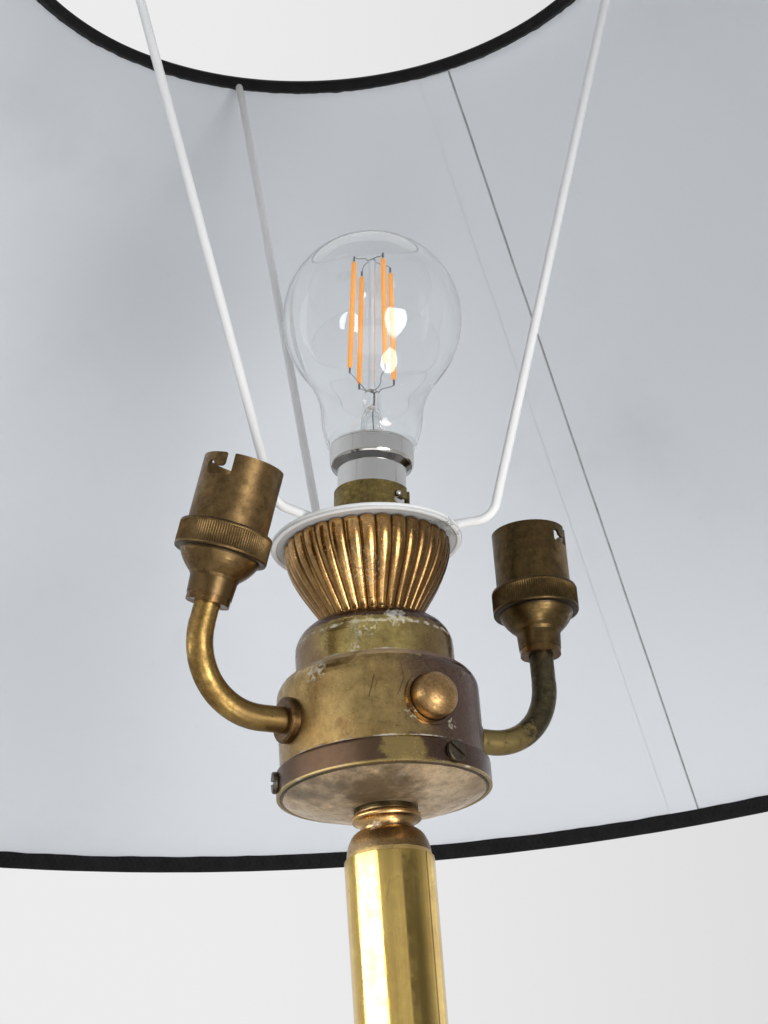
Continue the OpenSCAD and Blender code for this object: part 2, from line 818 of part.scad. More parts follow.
module foot_ring(side) {
    color(bronze) holder_place(side) tube(foot_ring_d / 2, arm_d / 2 + fit_gap / 2, 0, foot_ring_h);
}

module left_foot_ring() {
    foot_ring(-1);
}

module right_foot_ring() {
    foot_ring(1);
}

// Lampholders
module holder_skirt(bore_r) {
    skirt_wall = 1;
    bead = 0.5;
    bulge = 0.5;
    steps = 6;
    neck_r = holder_neck_d / 2;
    spigot_in = spigot_r - holder_spigot_wall;
    bowl_low = [neck_r + bead, skirt_z];
    bowl = [skirt_d / 2, lip_z] - bowl_low;
    bowl_out = [bowl[1], -bowl[0]] / norm(bowl);
    color(bronze) turned(concat(
        [[bore_r, foot_ring_h], [holder_foot_r, foot_ring_h], [neck_r, skirt_z - 2 * bead]],
        [for (i = [0 : steps]) let (t = i / steps) bowl_low + bowl * t + bowl_out * 4 * bulge * t * (1 - t)],
        [[spigot_r, lip_z], [spigot_r, insert_z], [spigot_in, insert_z], [spigot_in, lip_z - skirt_wall],
            [bore_r, skirt_z]]
    ));
}

module holder_knurl() {
    edge = 0.6;
    inner = shell_d / 2 + fit_gap;
    outer = knurl_d / 2;
    color(bronze) turned([
        [inner, lip_z], [outer - edge, lip_z], [outer, lip_z + edge], [outer, knurl_top - edge],
        [outer - edge, knurl_top], [inner, knurl_top]
    ]);
}

// One bayonet slot, open at the rim, that runs back by slot_turn and hooks up
module bayonet_slot(from) {
    relief = 0.3;
    inner = mouth_d / 2 - shell_land - over;
    width = shell_d / 2 + over - inner;
    slot_z = shell_rim - slot_depth;
    rotate([0, 0, from]) translate([inner, -slot_w / 2, slot_z - relief])
        cube([width, slot_w, slot_depth + relief + over]);
    rotate([0, 0, from - slot_turn]) {
        translate([inner, -slot_w / 2, slot_z - relief / 2])
            cube([width, slot_w, slot_w + hook_rise + relief / 2]);
        translate([0, 0, slot_z]) rotate_extrude(angle = slot_turn)
            translate([inner, 0]) square([width, slot_w]);
    }
}

// A shell with its bayonet slots, narrower up to land
module holder_shell(slot_from, land) {
    color(bronze) difference() {
        translate([0, 0, lip_z]) cylinder(d = shell_d, h = shell_rim - lip_z);
        translate([0, 0, lip_z - over]) cylinder(r = mouth_d / 2 - shell_land, h = shell_rim);
        translate([0, 0, land]) cylinder(d = mouth_d, h = shell_rim);
        for (side = [0, 180])
            bayonet_slot(slot_from + side);
    }
}

// Direction from the axis to a plunger, square to the bayonet pins
function plunger_angle(slot_from, i) = slot_from - slot_turn + 90 + 180 * i;

module holder_insert(slot_from) {
    low_r = spigot_r - holder_spigot_wall - fit_gap;
    color(porcelain) difference() {
        union() {
            translate([0, 0, insert_low]) cylinder(r = low_r, h = insert_top - insert_low);
            translate([0, 0, insert_z]) cylinder(r = mouth_d / 2 - shell_land - fit_gap, h = insert_h);
        }
        for (i = [0, 1])
            rotate([0, 0, plunger_angle(slot_from, i)]) translate([plunger_offset, 0, plunger_floor])
                cylinder(d = plunger_d + 2 * slide_gap, h = insert_top);
    }
}

module holder_plunger(slot_from, i, z) {
    tip = 0.8;
    color(brass) rotate([0, 0, plunger_angle(slot_from, i)]) translate([plunger_offset, 0, z]) turned([
        [0, 0], [plunger_d / 2, 0], [plunger_d / 2, plunger_len - tip],
        [plunger_d / 2 - tip, plunger_len], [0, plunger_len]
    ]);
}

module left_skirt() {
    holder_place(-1) holder_skirt(arm_d / 2 + fit_gap / 2);
}

module left_knurl() {
    holder_place(-1) holder_knurl();
}

module left_shell() {
    holder_place(-1) holder_shell(left_slot_angle, land_top);
}

module left_insert() {
    holder_place(-1) holder_insert(left_slot_angle);
}

module left_plunger_a() {
    holder_place(-1) holder_plunger(left_slot_angle, 0, plunger_rest);
}

module left_plunger_b() {
    holder_place(-1) holder_plunger(left_slot_angle, 1, plunger_rest);
}

module right_skirt() {
    holder_place(1) holder_skirt(arm_d / 2 + fit_gap / 2);
}

module right_knurl() {
    holder_place(1) holder_knurl();
}

module right_shell() {
    holder_place(1) holder_shell(right_slot_angle, land_top);
}

module right_insert() {
    holder_place(1) holder_insert(right_slot_angle);
}

module right_plunger_a() {
    holder_place(1) holder_plunger(right_slot_angle, 0, plunger_rest);
}

module right_plunger_b() {
    holder_place(1) holder_plunger(right_slot_angle, 1, plunger_rest);
}

// Leans a child about the middle lampholder's seat
module leaning() {
    translate([0, 0, seat_z]) rotate([0, 0, centre_lean_angle]) rotate([0, centre_lean, 0])
        rotate([0, 0, -centre_lean_angle]) translate([0, 0, -seat_z]) children();
}

// Puts a child on the middle lampholder's axis
module centre_place() {
    leaning() translate([0, 0, centre_z]) children();
}

// The bore leaves room for the upright stem
module centre_skirt() {
    centre_place() holder_skirt(rod_r + fit_gap / 2 + holder_neck_h * tan(centre_lean));
}

module centre_knurl() {
    centre_place() holder_knurl();
}

module centre_shell() {
    centre_place() holder_shell(centre_slot_angle, insert_top + plunger_play);
}

module centre_insert() {
    centre_place() holder_insert(centre_slot_angle);
}

module centre_plungers() {
    for (i = [0, 1])
        centre_place() holder_plunger(centre_slot_angle, i, plunger_held);
}

// Shade and carrier
module carrier_ring() {
    round_r = carrier_t / 2;
    color(white) translate([0, 0, carrier_z]) turned(concat(
        [[ring_hole_r, 0]],
        arc(carrier_d / 2 - round_r, round_r, round_r, -90, 90),
        [[ring_hole_r, carrier_t]]
    ));
}

// Point on the shade's section, s down the slope from the top edge and n in from its outside
function shade_point(s, n) = [shade_top_d / 2 + s * sin(slant) - n * cos(slant),
    shade_top_z - s * cos(slant) - n * sin(slant)];

module carrier_wire(i) {
    tip = shade_point(edge_wire_up, tape_face + turn_gap + wire_r);
    rise = [tip[0] - wire_bend, tip[1] - wire_z];
    seat = carrier_d / 2 - wire_seat;
    color(white) rotate([0, 0, wire_angle + 120 * i]) {
        translate([seat, 0, wire_z]) rotate([0, 90, 0]) cylinder(r = wire_r, h = wire_bend - seat);
        translate([wire_bend, 0, wire_z]) sphere(r = wire_r);
        translate([wire_bend, 0, wire_z]) rotate([0, atan2(rise[0], rise[1]), 0])
            cylinder(r = wire_r, h = norm(rise));
        translate([tip[0], 0, tip[1]]) sphere(r = wire_r);
    }
}

module carrier_wire_back() {
    carrier_wire(0);
}

module carrier_wire_left() {
    carrier_wire(1);
}

module carrier_wire_right() {
    carrier_wire(2);
}

module shade_cone() {
    color("#dfe3e8") turned([
        shade_point(0, 0), shade_point(slope_len, 0), shade_point(slope_len, card_t), shade_point(0, card_t)
    ]);
}

// An edge wire, s down the slope
module edge_wire(s) {
    centre = shade_point(s, edge_wire_in);
    color(white) rotate_extrude() translate(centre) circle(d = edge_wire_d);
}

module shade_top_wire() {
    edge_wire(edge_wire_up);
}

module shade_bottom_wire() {
    edge_wire(slope_len - edge_wire_up);
}

// Binding tape folded over an edge and its wire, where s runs inwards from the edge
module edge_tape(from, way) {
    over = edge_gap + tape_t;
    fold = edge_wire_up + edge_wire_d / 2 + edge_gap;
    face = tape_face - tape_t;
    section = [
        [tape_out, -over], [-over, -over], [-over, tape_face], [fold + tape_t / 2, tape_face],
        [tape_in, card_t + edge_gap + tape_t], [tape_in, card_t + edge_gap],
        [fold, face], [-edge_gap, face], [-edge_gap, -edge_gap], [tape_out, -edge_gap]
    ];
    color(black) turned([for (p = section) shade_point(from + way * p[0], p[1])]);
}

module shade_top_tape() {
    edge_tape(0, 1);
}

module shade_bottom_tape() {
    edge_tape(slope_len, -1);
}

// Bulb
// Point on the bulb's outside below its ball, from 0 at the ball to 1 at the shoulder
function bulb_side(t) = let (
    r = bulb_d / 2, r0 = r * cos(join_angle), h0 = bulb_z + r * sin(join_angle),
    fall = h0 - collar_top - shoulder_h, slope = -tan(join_angle) * fall, drop = r0 - bulb_shoulder_d / 2)
    [r0 - slope * t + (2 * slope - 3 * drop) * t * t + (2 * drop - slope) * t * t * t, h0 - fall * t];

// Point on the bulb's rounded shoulder, drawn inwards by inset, where a runs to 90 at the cap's collar
function bulb_shoulder(a, inset) = [glass_neck_r - inset + (bulb_shoulder_d / 2 - glass_neck_r) * cos(a),
    collar_top + shoulder_h - (shoulder_h - inset) * sin(a)];

// Outline of the bulb's glass from its crown to its neck, drawn inwards by inset
function bulb_outline(inset) = concat(
    [[0, bulb_z + (bulb_d / 2 - inset) * sin(crown_angle)]],
    arc(0, bulb_z, bulb_d / 2 - inset, crown_angle, join_angle, 16),
    [for (i = [1 : 10]) bulb_side(i / 10) - [inset, 0]],
    [for (a = [15 : 15 : 90]) bulb_shoulder(a, inset)],
    [[glass_neck_r - inset, collar_z + glass_lift]]
);

module bulb_glass() {
    inner = bulb_outline(glass_wall);
    color("#e8f0f0", 0.35) leaning() turned(concat(
        bulb_outline(0), [for (i = [len(inner) - 1 : -1 : 0]) inner[i]]
    ));
}

module bulb_cap() {
    low = centre_z + contact_z;
    collar_r = bulb_collar_d / 2;
    color(steel) leaning() {
        turned([
            [barrel_in, low], [barrel_d / 2, low], [barrel_d / 2, collar_z], [collar_r, collar_z],
            [collar_r, collar_top], [collar_r - barrel_wall, collar_top],
            [collar_r - barrel_wall, collar_z + barrel_wall], [barrel_in, collar_z + barrel_wall]
        ]);
        for (side = [0, 180])
            rotate([0, 0, pin_angle + side]) translate([barrel_in, 0, centre_z + pin_z])
                rotate([0, 90, 0]) cylinder(d = pin_d, h = pin_reach - barrel_in);
    }
}

module bulb_stem() {
    flare_drop = 4;
    flare_edge = 1.5;
    flare_h = 10;
    pinch_h = 6;
    flare_r = barrel_in - fit_gap;
    stem_r = stem_glass_d / 2;
    shaft_r = stem_r * 1.6;
    flare_z = collar_z - flare_drop;
    color("#dfe8e8", 0.5) leaning() turned([
        [0, flare_z], [flare_r, flare_z], [flare_r, flare_z + flare_edge], [shaft_r, flare_z + flare_h],
        [stem_r, filament_z - pinch_h], [stem_r / 2, filament_z], [stem_r / 2, hub_z], [0, hub_z]
    ]);
}

// A round bar between two points
module bar(from, to, r) {
    d = to - from;
    translate(from) rotate([0, acos(d[2] / norm(d)), atan2(d[1], d[0])]) cylinder(r = r, h = norm(d));
}

// Ends of filament i, in cylindrical order round the stem
function filament_end(i, high) =
    let (a = filament_angle + 90 * i, r = high ? filament_high_r : filament_low_r)
    [r * cos(a), r * sin(a), high ? filament_z + filament_len : filament_z];

module bulb_filaments() {
    color("#e8a13a") leaning() for (i = [0 : 3])
        bar(filament_end(i, false), filament_end(i, true), filament_d / 2);
}

module bulb_leads() {
    hub_r = stem_glass_d / 4 + fit_gap;
    out = lead_d;
    color(steel) leaning() difference() {
        union() {
            translate([0, 0, hub_z - 2 * out]) cylinder(r = hub_r + out, h = 2 * out);
            translate([0, 0, filament_z - 2 * out]) cylinder(r = hub_r + 2 * out, h = 2 * out);
            for (i = [0 : 3])
                bar([0, 0, hub_z - out], filament_end(i, true) + [0, 0, out], out / 2);
            for (i = [0 : 3])
                bar([0, 0, filament_z - out], filament_end(i, false) - [0, 0, out], out / 2);
        }
        translate([0, 0, filament_z]) cylinder(r = hub_r, h = filament_len + 2 * over);
        translate([0, 0, filament_z - 3 * out]) cylinder(r = stem_glass_d / 3 + fit_gap, h = 3 * out + over);
    }
}

module bulb_contacts() {
    blob_h = 0.8;
    blob_r = 2.4;
    disc_h = 3;
    low = centre_z + contact_z;
    color(black) leaning() translate([0, 0, low + blob_h]) cylinder(r = barrel_in - fit_gap, h = disc_h);
    color(steel) leaning() for (i = [0, 1])
        rotate([0, 0, plunger_angle(centre_slot_angle, i)]) translate([plunger_offset, 0, low])
            cylinder(r = blob_r, h = blob_h);
}

base_felt();
base_weight();
base_cover();
base_nut();
cord_bushing();
column_foot();
column_tube();
tie_rod();
neck();
pan();
pan_nut();
pan_screws();
drum();
drum_cap();
fluted_cup();
top_stem();
stem_nut();
switch_body();
switch_sleeve();
switch_button();
terminal_block();
left_arm();
right_arm();
left_collar();
right_collar();
arm_nuts();
left_foot_ring();
right_foot_ring();
left_skirt();
left_knurl();
left_shell();
left_insert();
left_plunger_a();
left_plunger_b();
right_skirt();
right_knurl();
right_shell();
right_insert();
right_plunger_a();
right_plunger_b();
centre_skirt();
centre_knurl();
centre_shell();
centre_insert();
centre_plungers();
carrier_ring();
carrier_wire_back();
carrier_wire_left();
carrier_wire_right();
shade_cone();
shade_top_wire();
shade_bottom_wire();
shade_top_tape();
shade_bottom_tape();
bulb_glass();
bulb_cap();
bulb_stem();
bulb_filaments();
bulb_leads();
bulb_contacts();
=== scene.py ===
"""A brass floor lamp: its finishes, fine pieces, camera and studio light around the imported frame."""

import math

import bpy
from mathutils import Matrix, Vector, geometry, noise


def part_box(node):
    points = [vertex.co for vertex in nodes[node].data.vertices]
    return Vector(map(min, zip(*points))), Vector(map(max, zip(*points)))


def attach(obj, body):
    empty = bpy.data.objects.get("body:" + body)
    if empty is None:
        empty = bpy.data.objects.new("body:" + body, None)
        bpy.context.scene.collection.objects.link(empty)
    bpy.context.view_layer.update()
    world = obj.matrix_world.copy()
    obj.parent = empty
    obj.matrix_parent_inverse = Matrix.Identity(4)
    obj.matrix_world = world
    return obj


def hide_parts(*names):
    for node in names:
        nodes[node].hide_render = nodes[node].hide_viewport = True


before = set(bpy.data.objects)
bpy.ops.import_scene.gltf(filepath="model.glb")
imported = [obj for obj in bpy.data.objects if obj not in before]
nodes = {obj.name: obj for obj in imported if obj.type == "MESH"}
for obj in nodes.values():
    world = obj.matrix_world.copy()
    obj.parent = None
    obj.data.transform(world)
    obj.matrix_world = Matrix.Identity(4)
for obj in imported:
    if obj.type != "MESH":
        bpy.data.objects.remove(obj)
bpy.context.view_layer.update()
MM = 0.001


def foot_of(name):
    """The height of a solid's lowest point, in millimetres."""
    return round(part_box(name)[0].z / MM, 3)


def top_of(name):
    """The height of a solid's highest point, in millimetres."""
    return round(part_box(name)[1].z / MM, 3)


def reach_of(name):
    """How far a solid reaches along X, in millimetres."""
    return round(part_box(name)[1].x / MM, 3)


# Heights and sizes of the lamp in millimetres
HEAD_Z = foot_of("drum")
CAP_TOP = top_of("drum_cap")
CUP_H = top_of("fluted_cup") - CAP_TOP
CARRIER_Z = foot_of("carrier_ring")
CARRIER_TOP = top_of("carrier_ring")
CARRIER_R = reach_of("carrier_ring")
CARRIER_HOLE = 14.35
WIRE_R = 1.5
WIRE_BEND = 40.75
SHADE_TOP_Z = top_of("shade_cone")
SHADE_TOP_R = 120.0
SHADE_LOW_R = reach_of("shade_cone")
SHADE_H = 267.0
CARD = 1.0
SLANT = math.atan2(SHADE_LOW_R - SHADE_TOP_R, SHADE_H)
SLOPE = SHADE_H / math.cos(SLANT)
SEAM_TURN = math.radians(37)
WIRE_TURNS = {"back": 79, "left": 199, "right": 319}


def on_holder(height):
    """A height above the foot of the upright lampholder on the right."""
    return round(height - foot_of("right_foot_ring"), 3)


# Heights on a lampholder: its own parts, then the end of the bulb's cap and the bayonet pins
FOOT_RING = on_holder(top_of("right_foot_ring"))
KNURL_LOW = on_holder(foot_of("right_knurl"))
KNURL_TOP = on_holder(top_of("right_knurl"))
SHELL_RIM = on_holder(top_of("right_shell"))
CONTACT = 32.7
PIN = 39.5

# The middle lampholder and the bulb lean together about the holder's seat
SEAT_Z = 1390.549
HOLDER_Z = SEAT_Z - FOOT_RING
RIM_Z = HOLDER_Z + SHELL_RIM
BULB_Z = RIM_Z + 63.4
COLLAR_Z = RIM_Z + 8.3
COLLAR_TOP = COLLAR_Z + 8.2
LEAN_TURN = math.radians(325)
LEAN_ANGLE = math.radians(4)
LEAN = (Matrix.Translation((0, 0, SEAT_Z))
        @ Matrix.Rotation(LEAN_ANGLE, 4, Vector((-math.sin(LEAN_TURN), math.cos(LEAN_TURN), 0)))
        @ Matrix.Translation((0, 0, -SEAT_Z)))

# The side arms: height above the head, reach to a holder's axis, bend, and the straight run after it
ARM_Z = 20.0
ARM_REACH = 62.0
ARM_BEND = 22.0
ARM_STRAIGHT = 9.5
# Each holder's lean, its arm's turn about its own axis, and the way the arm leaves the head, in degrees
ARM_ANGLES = {"right": (0.0, 0.0, 0.0), "left": (10.5, -17.5, 180.0)}

# A radius that stands for the axis, where a turned shape closes
AXIS_R = 0.001

# The camera stands 120 degrees back from the X axis
CAMERA_TURN = -120
VIEW_SWING = Matrix.Rotation(math.radians(CAMERA_TURN + 90), 3, "Z")


def on_lamp(turn, radius, height):
    """A place in metres: degrees to the right of the camera's side, radius, and height above the head."""
    a = math.radians(CAMERA_TURN + turn)
    return Vector((radius * math.cos(a), radius * math.sin(a), HEAD_Z + height)) * MM


def holder_places():
    """Where the holders stand: the middle one leaning on its seat, the side ones as the arms carry them."""
    found = {"centre": LEAN @ Matrix.Translation((0, 0, HOLDER_Z))}
    for side, angles in ARM_ANGLES.items():
        lean, turn, swing = (math.radians(a) for a in angles)
        end = Vector((ARM_REACH - ARM_BEND + ARM_BEND * math.cos(lean), 0, ARM_BEND * (1 + math.sin(lean))))
        found[side] = (Matrix.Translation((0, 0, HEAD_Z)) @ Matrix.Rotation(swing, 4, "Z")
                       @ Matrix.Translation((0, 0, ARM_Z)) @ Matrix.Rotation(turn, 4, "X")
                       @ Matrix.Translation(end) @ Matrix.Rotation(-lean, 4, "Y")
                       @ Matrix.Translation((0, 0, ARM_STRAIGHT - ARM_BEND * lean)))
    return found


HOLDERS = holder_places()


# Making shader nodes

def node(tree, kind, inputs=None, **settings):
    """A new node; inputs hold values, or sockets to link from."""
    made = tree.nodes.new("ShaderNode" + kind)
    for name, value in settings.items():
        setattr(made, name, value)
    for key, value in (inputs or {}).items():
        if isinstance(value, bpy.types.NodeSocket):
            tree.links.new(value, made.inputs[key])
        else:
            made.inputs[key].default_value = value
    return made


def sums(tree, operation, *values):
    """A sum of values, or another operation on them."""
    return node(tree, "Math", dict(enumerate(values)), operation=operation).outputs[0]


def vectors(tree, operation, *values):
    """A vector sum; a product or a distance comes out as a value."""
    made = node(tree, "VectorMath", dict(enumerate(values)), operation=operation)
    return made.outputs["Value" if operation in ("DOT_PRODUCT", "DISTANCE", "LENGTH") else "Vector"]


def ease(tree, value, low, high, start=0.0, end=1.0):
    """The value eased from start at low to end at high."""
    made = node(tree, "MapRange", {"Value": value, "From Min": low, "From Max": high, "To Min": start,
                                   "To Max": end}, interpolation_type="SMOOTHSTEP")
    return made.outputs["Result"]


def scaled(tree, value, factor):
    """A colour or a vector times a factor."""
    return node(tree, "VectorMath", {0: value, "Scale": factor}, operation="SCALE").outputs["Vector"]


def blend_colour(tree, share, first, second):
    """The first colour where the share is 0, the second where it is 1."""
    return node(tree, "Mix", {0: share, 6: first, 7: second}, data_type="RGBA").outputs[2]


def blend_value(tree, share, first, second):
    """The first value where the share is 0, the second where it is 1."""
    return node(tree, "Mix", {0: share, 2: first, 3: second}).outputs[0]


def cloud(tree, place, scale, detail=5.0, rough=0.55):
    """Cloudy noise about 0.5."""
    made = node(tree, "TexNoise", {"Vector": place, "Scale": scale, "Detail": detail, "Roughness": rough})
    return made.outputs["Fac"]


def effect(name, inputs, outputs):
    """A shader node group with named sockets; returns its tree, its input sockets and its output node."""
    tree = bpy.data.node_groups.new(name, "ShaderNodeTree")
    kinds = {float: "NodeSocketFloat", tuple: "NodeSocketColor", Vector: "NodeSocketVector"}
    for label, value in inputs.items():
        made = tree.interface.new_socket(label, in_out="INPUT", socket_type=kinds[type(value)])
        made.default_value = value
    for label, kind in outputs.items():
        tree.interface.new_socket(label, in_out="OUTPUT", socket_type=kinds[kind])
    return tree, tree.nodes.new("NodeGroupInput").outputs, tree.nodes.new("NodeGroupOutput")


def use(tree, group, **values):
    """An effect placed in a material with its own values; returns its outputs."""
    made = tree.nodes.new("ShaderNodeGroup")
    made.node_tree = group
    for label, value in values.items():
        label = label.replace("_", " ")
        if isinstance(value, bpy.types.NodeSocket):
            tree.links.new(value, made.inputs[label])
        else:
            made.inputs[label].default_value = value
    return made.outputs


def at_rest(tree):
    """Coordinates that stay on the piece when it moves."""
    return node(tree, "TexCoord").outputs["Object"]


def finish(name, **sockets):
    """A material with one principled shader; returns the material, its tree and the shader's inputs."""
    made = bpy.data.materials.new(name)
    made.use_nodes = True
    tree = made.node_tree
    tree.nodes.clear()
    shader = tree.nodes.new("ShaderNodeBsdfPrincipled")
    out = tree.nodes.new("ShaderNodeOutputMaterial")
    tree.links.new(shader.outputs[0], out.inputs[0])
    for label, value in sockets.items():
        shader.inputs[label.replace("_", " ")].default_value = value
    return made, tree, shader.inputs


def bumped(tree, shader, height, strength, distance):
    """Fine relief from a height."""
    made = node(tree, "Bump", {"Height": height, "Strength": strength, "Distance": distance})
    tree.links.new(made.outputs[0], shader["Normal"])


# Effects that several finishes share

# How soft the edges of a stain are, in levels of noise
STAIN_EDGE = 0.085


def patina_effect():
    """Metal that goes from bright through brown to dark in patches, with fine pits."""
    tree, given, out = effect("patina", {
        "Patch": 0.012, "Cover": 0.5, "Gloss": 0.25, "Matt": 0.5, "Pits": 0.4, "Mottle": 1.0,
        "Bright": (0.8, 0.6, 0.25, 1.0), "Brown": (0.4, 0.25, 0.1, 1.0), "Dark": (0.12, 0.07, 0.04, 1.0),
    }, {"Color": tuple, "Roughness": float, "Height": float})
    place = at_rest(tree)
    scale = sums(tree, "DIVIDE", 1.0, given["Patch"])
    patches = cloud(tree, place, scale, 8.0, 0.62)
    edge = sums(tree, "SUBTRACT", 0.78, sums(tree, "MULTIPLY", given["Cover"], 0.55))
    brown = ease(tree, patches, sums(tree, "SUBTRACT", edge, 0.16), sums(tree, "ADD", edge, 0.16))
    wide = cloud(tree, place, sums(tree, "MULTIPLY", scale, 0.37), 6.0, 0.6)
    dark = ease(tree, wide, 0.52, 0.78)
    pits = ease(tree, cloud(tree, place, 900.0, 3.0, 0.7), 0.60, 0.72)
    pits = sums(tree, "MULTIPLY", pits, given["Pits"])
    colour = blend_colour(tree, brown, given["Bright"], given["Brown"])
    colour = blend_colour(tree, sums(tree, "MULTIPLY", dark, 0.7), colour, given["Dark"])
    colour = blend_colour(tree, pits, colour, given["Dark"])
    mottle = cloud(tree, place, sums(tree, "MULTIPLY", scale, 5.0), 7.0, 0.75)
    shade = blend_value(tree, given["Mottle"], 1.0, ease(tree, mottle, 0.28, 0.72, 0.62, 1.32))
    colour = scaled(tree, colour, shade)
    rough = blend_value(tree, brown, given["Gloss"], given["Matt"])
    rough = sums(tree, "ADD", rough, sums(tree, "MULTIPLY", pits, 0.2))
    rough = sums(tree, "ADD", rough, ease(tree, mottle, 0.28, 0.72, 0.07, -0.05))
    height = sums(tree, "ADD", sums(tree, "MULTIPLY", patches, 0.5), sums(tree, "MULTIPLY", mottle, 0.3))
    height = sums(tree, "SUBTRACT", height, pits)
    for label, value in (("Color", colour), ("Roughness", rough), ("Height", height)):
        tree.links.new(value, out.inputs[label])
    return tree


def broken_up(tree, place, near, amount, grain, edge=STAIN_EDGE):
    """A mask that follows near, eaten away by noise of one grain."""
    specks = cloud(tree, place, sums(tree, "DIVIDE", 1.0, grain), 7.0, 0.65)
    level = sums(tree, "ADD", specks, sums(tree, "SUBTRACT", amount, 0.5))
    level = sums(tree, "ADD", level, sums(tree, "MULTIPLY", sums(tree, "SUBTRACT", near, 1.0), 0.6))
    return ease(tree, level, sums(tree, "SUBTRACT", 0.515, edge), sums(tree, "ADD", 0.515, edge))


def band_effect():
    """A mask round one height along an axis, broken up by noise."""
    tree, given, out = effect("band", {"Axis": Vector((0, 0, 1)), "Level": 1.35, "Spread": 0.002,
                                       "Amount": 0.5, "Grain": 0.004}, {"Mask": float})
    place = at_rest(tree)
    up = vectors(tree, "DOT_PRODUCT", place, given["Axis"])
    away = sums(tree, "ABSOLUTE", sums(tree, "SUBTRACT", up, given["Level"]))
    near = ease(tree, sums(tree, "DIVIDE", away, given["Spread"]), 0.2, 1.0, 1.0, 0.0)
    tree.links.new(broken_up(tree, place, near, given["Amount"], given["Grain"]), out.inputs["Mask"])
    return tree


def spot_effect():
    """A mask round one place on the lamp, broken up by noise."""
    tree, given, out = effect("spot", {"Place": Vector(), "Reach": 0.01, "Amount": 0.5, "Grain": 0.003,
                                       "Edge": STAIN_EDGE}, {"Mask": float})
    place = at_rest(tree)
    away = sums(tree, "DIVIDE", vectors(tree, "DISTANCE", place, given["Place"]), given["Reach"])
    near = ease(tree, away, 0.25, 1.0, 1.0, 0.0)
    mask = broken_up(tree, place, near, given["Amount"], given["Grain"], given["Edge"])
    tree.links.new(mask, out.inputs["Mask"])
    return tree


def flank_effect():
    """A mask on the side of the lamp that faces one way, with a drifting edge."""
    tree, given, out = effect("flank", {"Toward": Vector((0, -1, 0)), "Low": 0.3, "High": 0.6, "Drift": 0.4,
                                        "Grain": 0.02}, {"Mask": float})
    place = at_rest(tree)
    flat = vectors(tree, "NORMALIZE", vectors(tree, "MULTIPLY", place, (1.0, 1.0, 0.0)))
    drift = sums(tree, "SUBTRACT", cloud(tree, place, sums(tree, "DIVIDE", 1.0, given["Grain"]), 5.0), 0.5)
    facing = sums(tree, "ADD", vectors(tree, "DOT_PRODUCT", flat, given["Toward"]),
                  sums(tree, "MULTIPLY", drift, given["Drift"]))
    tree.links.new(ease(tree, facing, given["Low"], given["High"]), out.inputs["Mask"])
    return tree


def stroke_effect():
    """A mask along one straight line."""
    tree, given, out = effect("stroke", {"Start": Vector(), "End": Vector((0, 0, 0.01)), "Width": 0.0004},
                              {"Mask": float})
    run = vectors(tree, "SUBTRACT", given["End"], given["Start"])
    off = vectors(tree, "SUBTRACT", at_rest(tree), given["Start"])
    length_squared = vectors(tree, "DOT_PRODUCT", run, run)
    share = sums(tree, "DIVIDE", vectors(tree, "DOT_PRODUCT", off, run), length_squared)
    share = sums(tree, "MINIMUM", sums(tree, "MAXIMUM", share, 0.0), 1.0)
    along = scaled(tree, run, share)
    gap = sums(tree, "DIVIDE", vectors(tree, "DISTANCE", off, along), given["Width"])
    tree.links.new(ease(tree, gap, 0.35, 1.0, 1.0, 0.0), out.inputs["Mask"])
    return tree


def scratch_effect():
    """Thin scratches that run in two directions."""
    tree, given, out = effect("scratches", {"Spacing": 0.006, "Amount": 0.5}, {"Mask": float})
    place = at_rest(tree)
    found = []
    for tilt, stretch in (((0.3, 0.9, 0.4), (1.0, 1.0, 0.05)), ((0.8, -0.4, 1.1), (0.06, 1.0, 1.0))):
        laid = node(tree, "Mapping", {"Vector": place, "Rotation": tilt, "Scale": stretch}).outputs[0]
        lines = cloud(tree, laid, sums(tree, "DIVIDE", 3.0, given["Spacing"]), 1.0, 0.4)
        away = sums(tree, "ABSOLUTE", sums(tree, "SUBTRACT", lines, 0.5))
        found.append(ease(tree, away, 0.0, 0.008, 1.0, 0.0))
    lines = sums(tree, "MAXIMUM", *found)
    gaps = ease(tree, cloud(tree, place, sums(tree, "DIVIDE", 0.7, given["Spacing"]), 2.0), 0.5, 0.62)
    mask = sums(tree, "MULTIPLY", sums(tree, "MULTIPLY", lines, gaps), given["Amount"])
    tree.links.new(mask, out.inputs["Mask"])
    return tree


def weave_effect():
    """Over and under threads of a plain weave, laid by the piece's own unwrapped coordinates."""
    tree, given, out = effect("weave", {"Across": 100.0, "Along": 100.0}, {"Height": float, "Tone": float})
    laid = node(tree, "TexCoord").outputs["UV"]
    parts = node(tree, "SeparateXYZ", {0: laid}).outputs
    first = sums(tree, "SINE", sums(tree, "MULTIPLY", parts[0], given["Along"]))
    second = sums(tree, "SINE", sums(tree, "MULTIPLY", parts[1], given["Across"]))
    height = sums(tree, "ADD", sums(tree, "MULTIPLY", first, second), 1.0)
    tone = cloud(tree, at_rest(tree), 160.0, 4.0)
    tree.links.new(sums(tree, "MULTIPLY", height, 0.5), out.inputs["Height"])
    tree.links.new(tone, out.inputs["Tone"])
    return tree


def smudge_effect():
    """Faint soft marks with a few harder spots."""
    tree, given, out = effect("smudges", {"Patch": 0.08, "Amount": 0.5}, {"Mask": float})
    place = at_rest(tree)
    scale = sums(tree, "DIVIDE", 1.0, given["Patch"])
    soft = ease(tree, cloud(tree, place, scale, 5.0, 0.6), 0.52, 0.8)
    spots = ease(tree, cloud(tree, place, sums(tree, "MULTIPLY", scale, 9.0), 2.0), 0.74, 0.80)
    both = sums(tree, "ADD", soft, sums(tree, "MULTIPLY", spots, 0.5))
    tree.links.new(sums(tree, "MULTIPLY", both, given["Amount"]), out.inputs["Mask"])
    return tree


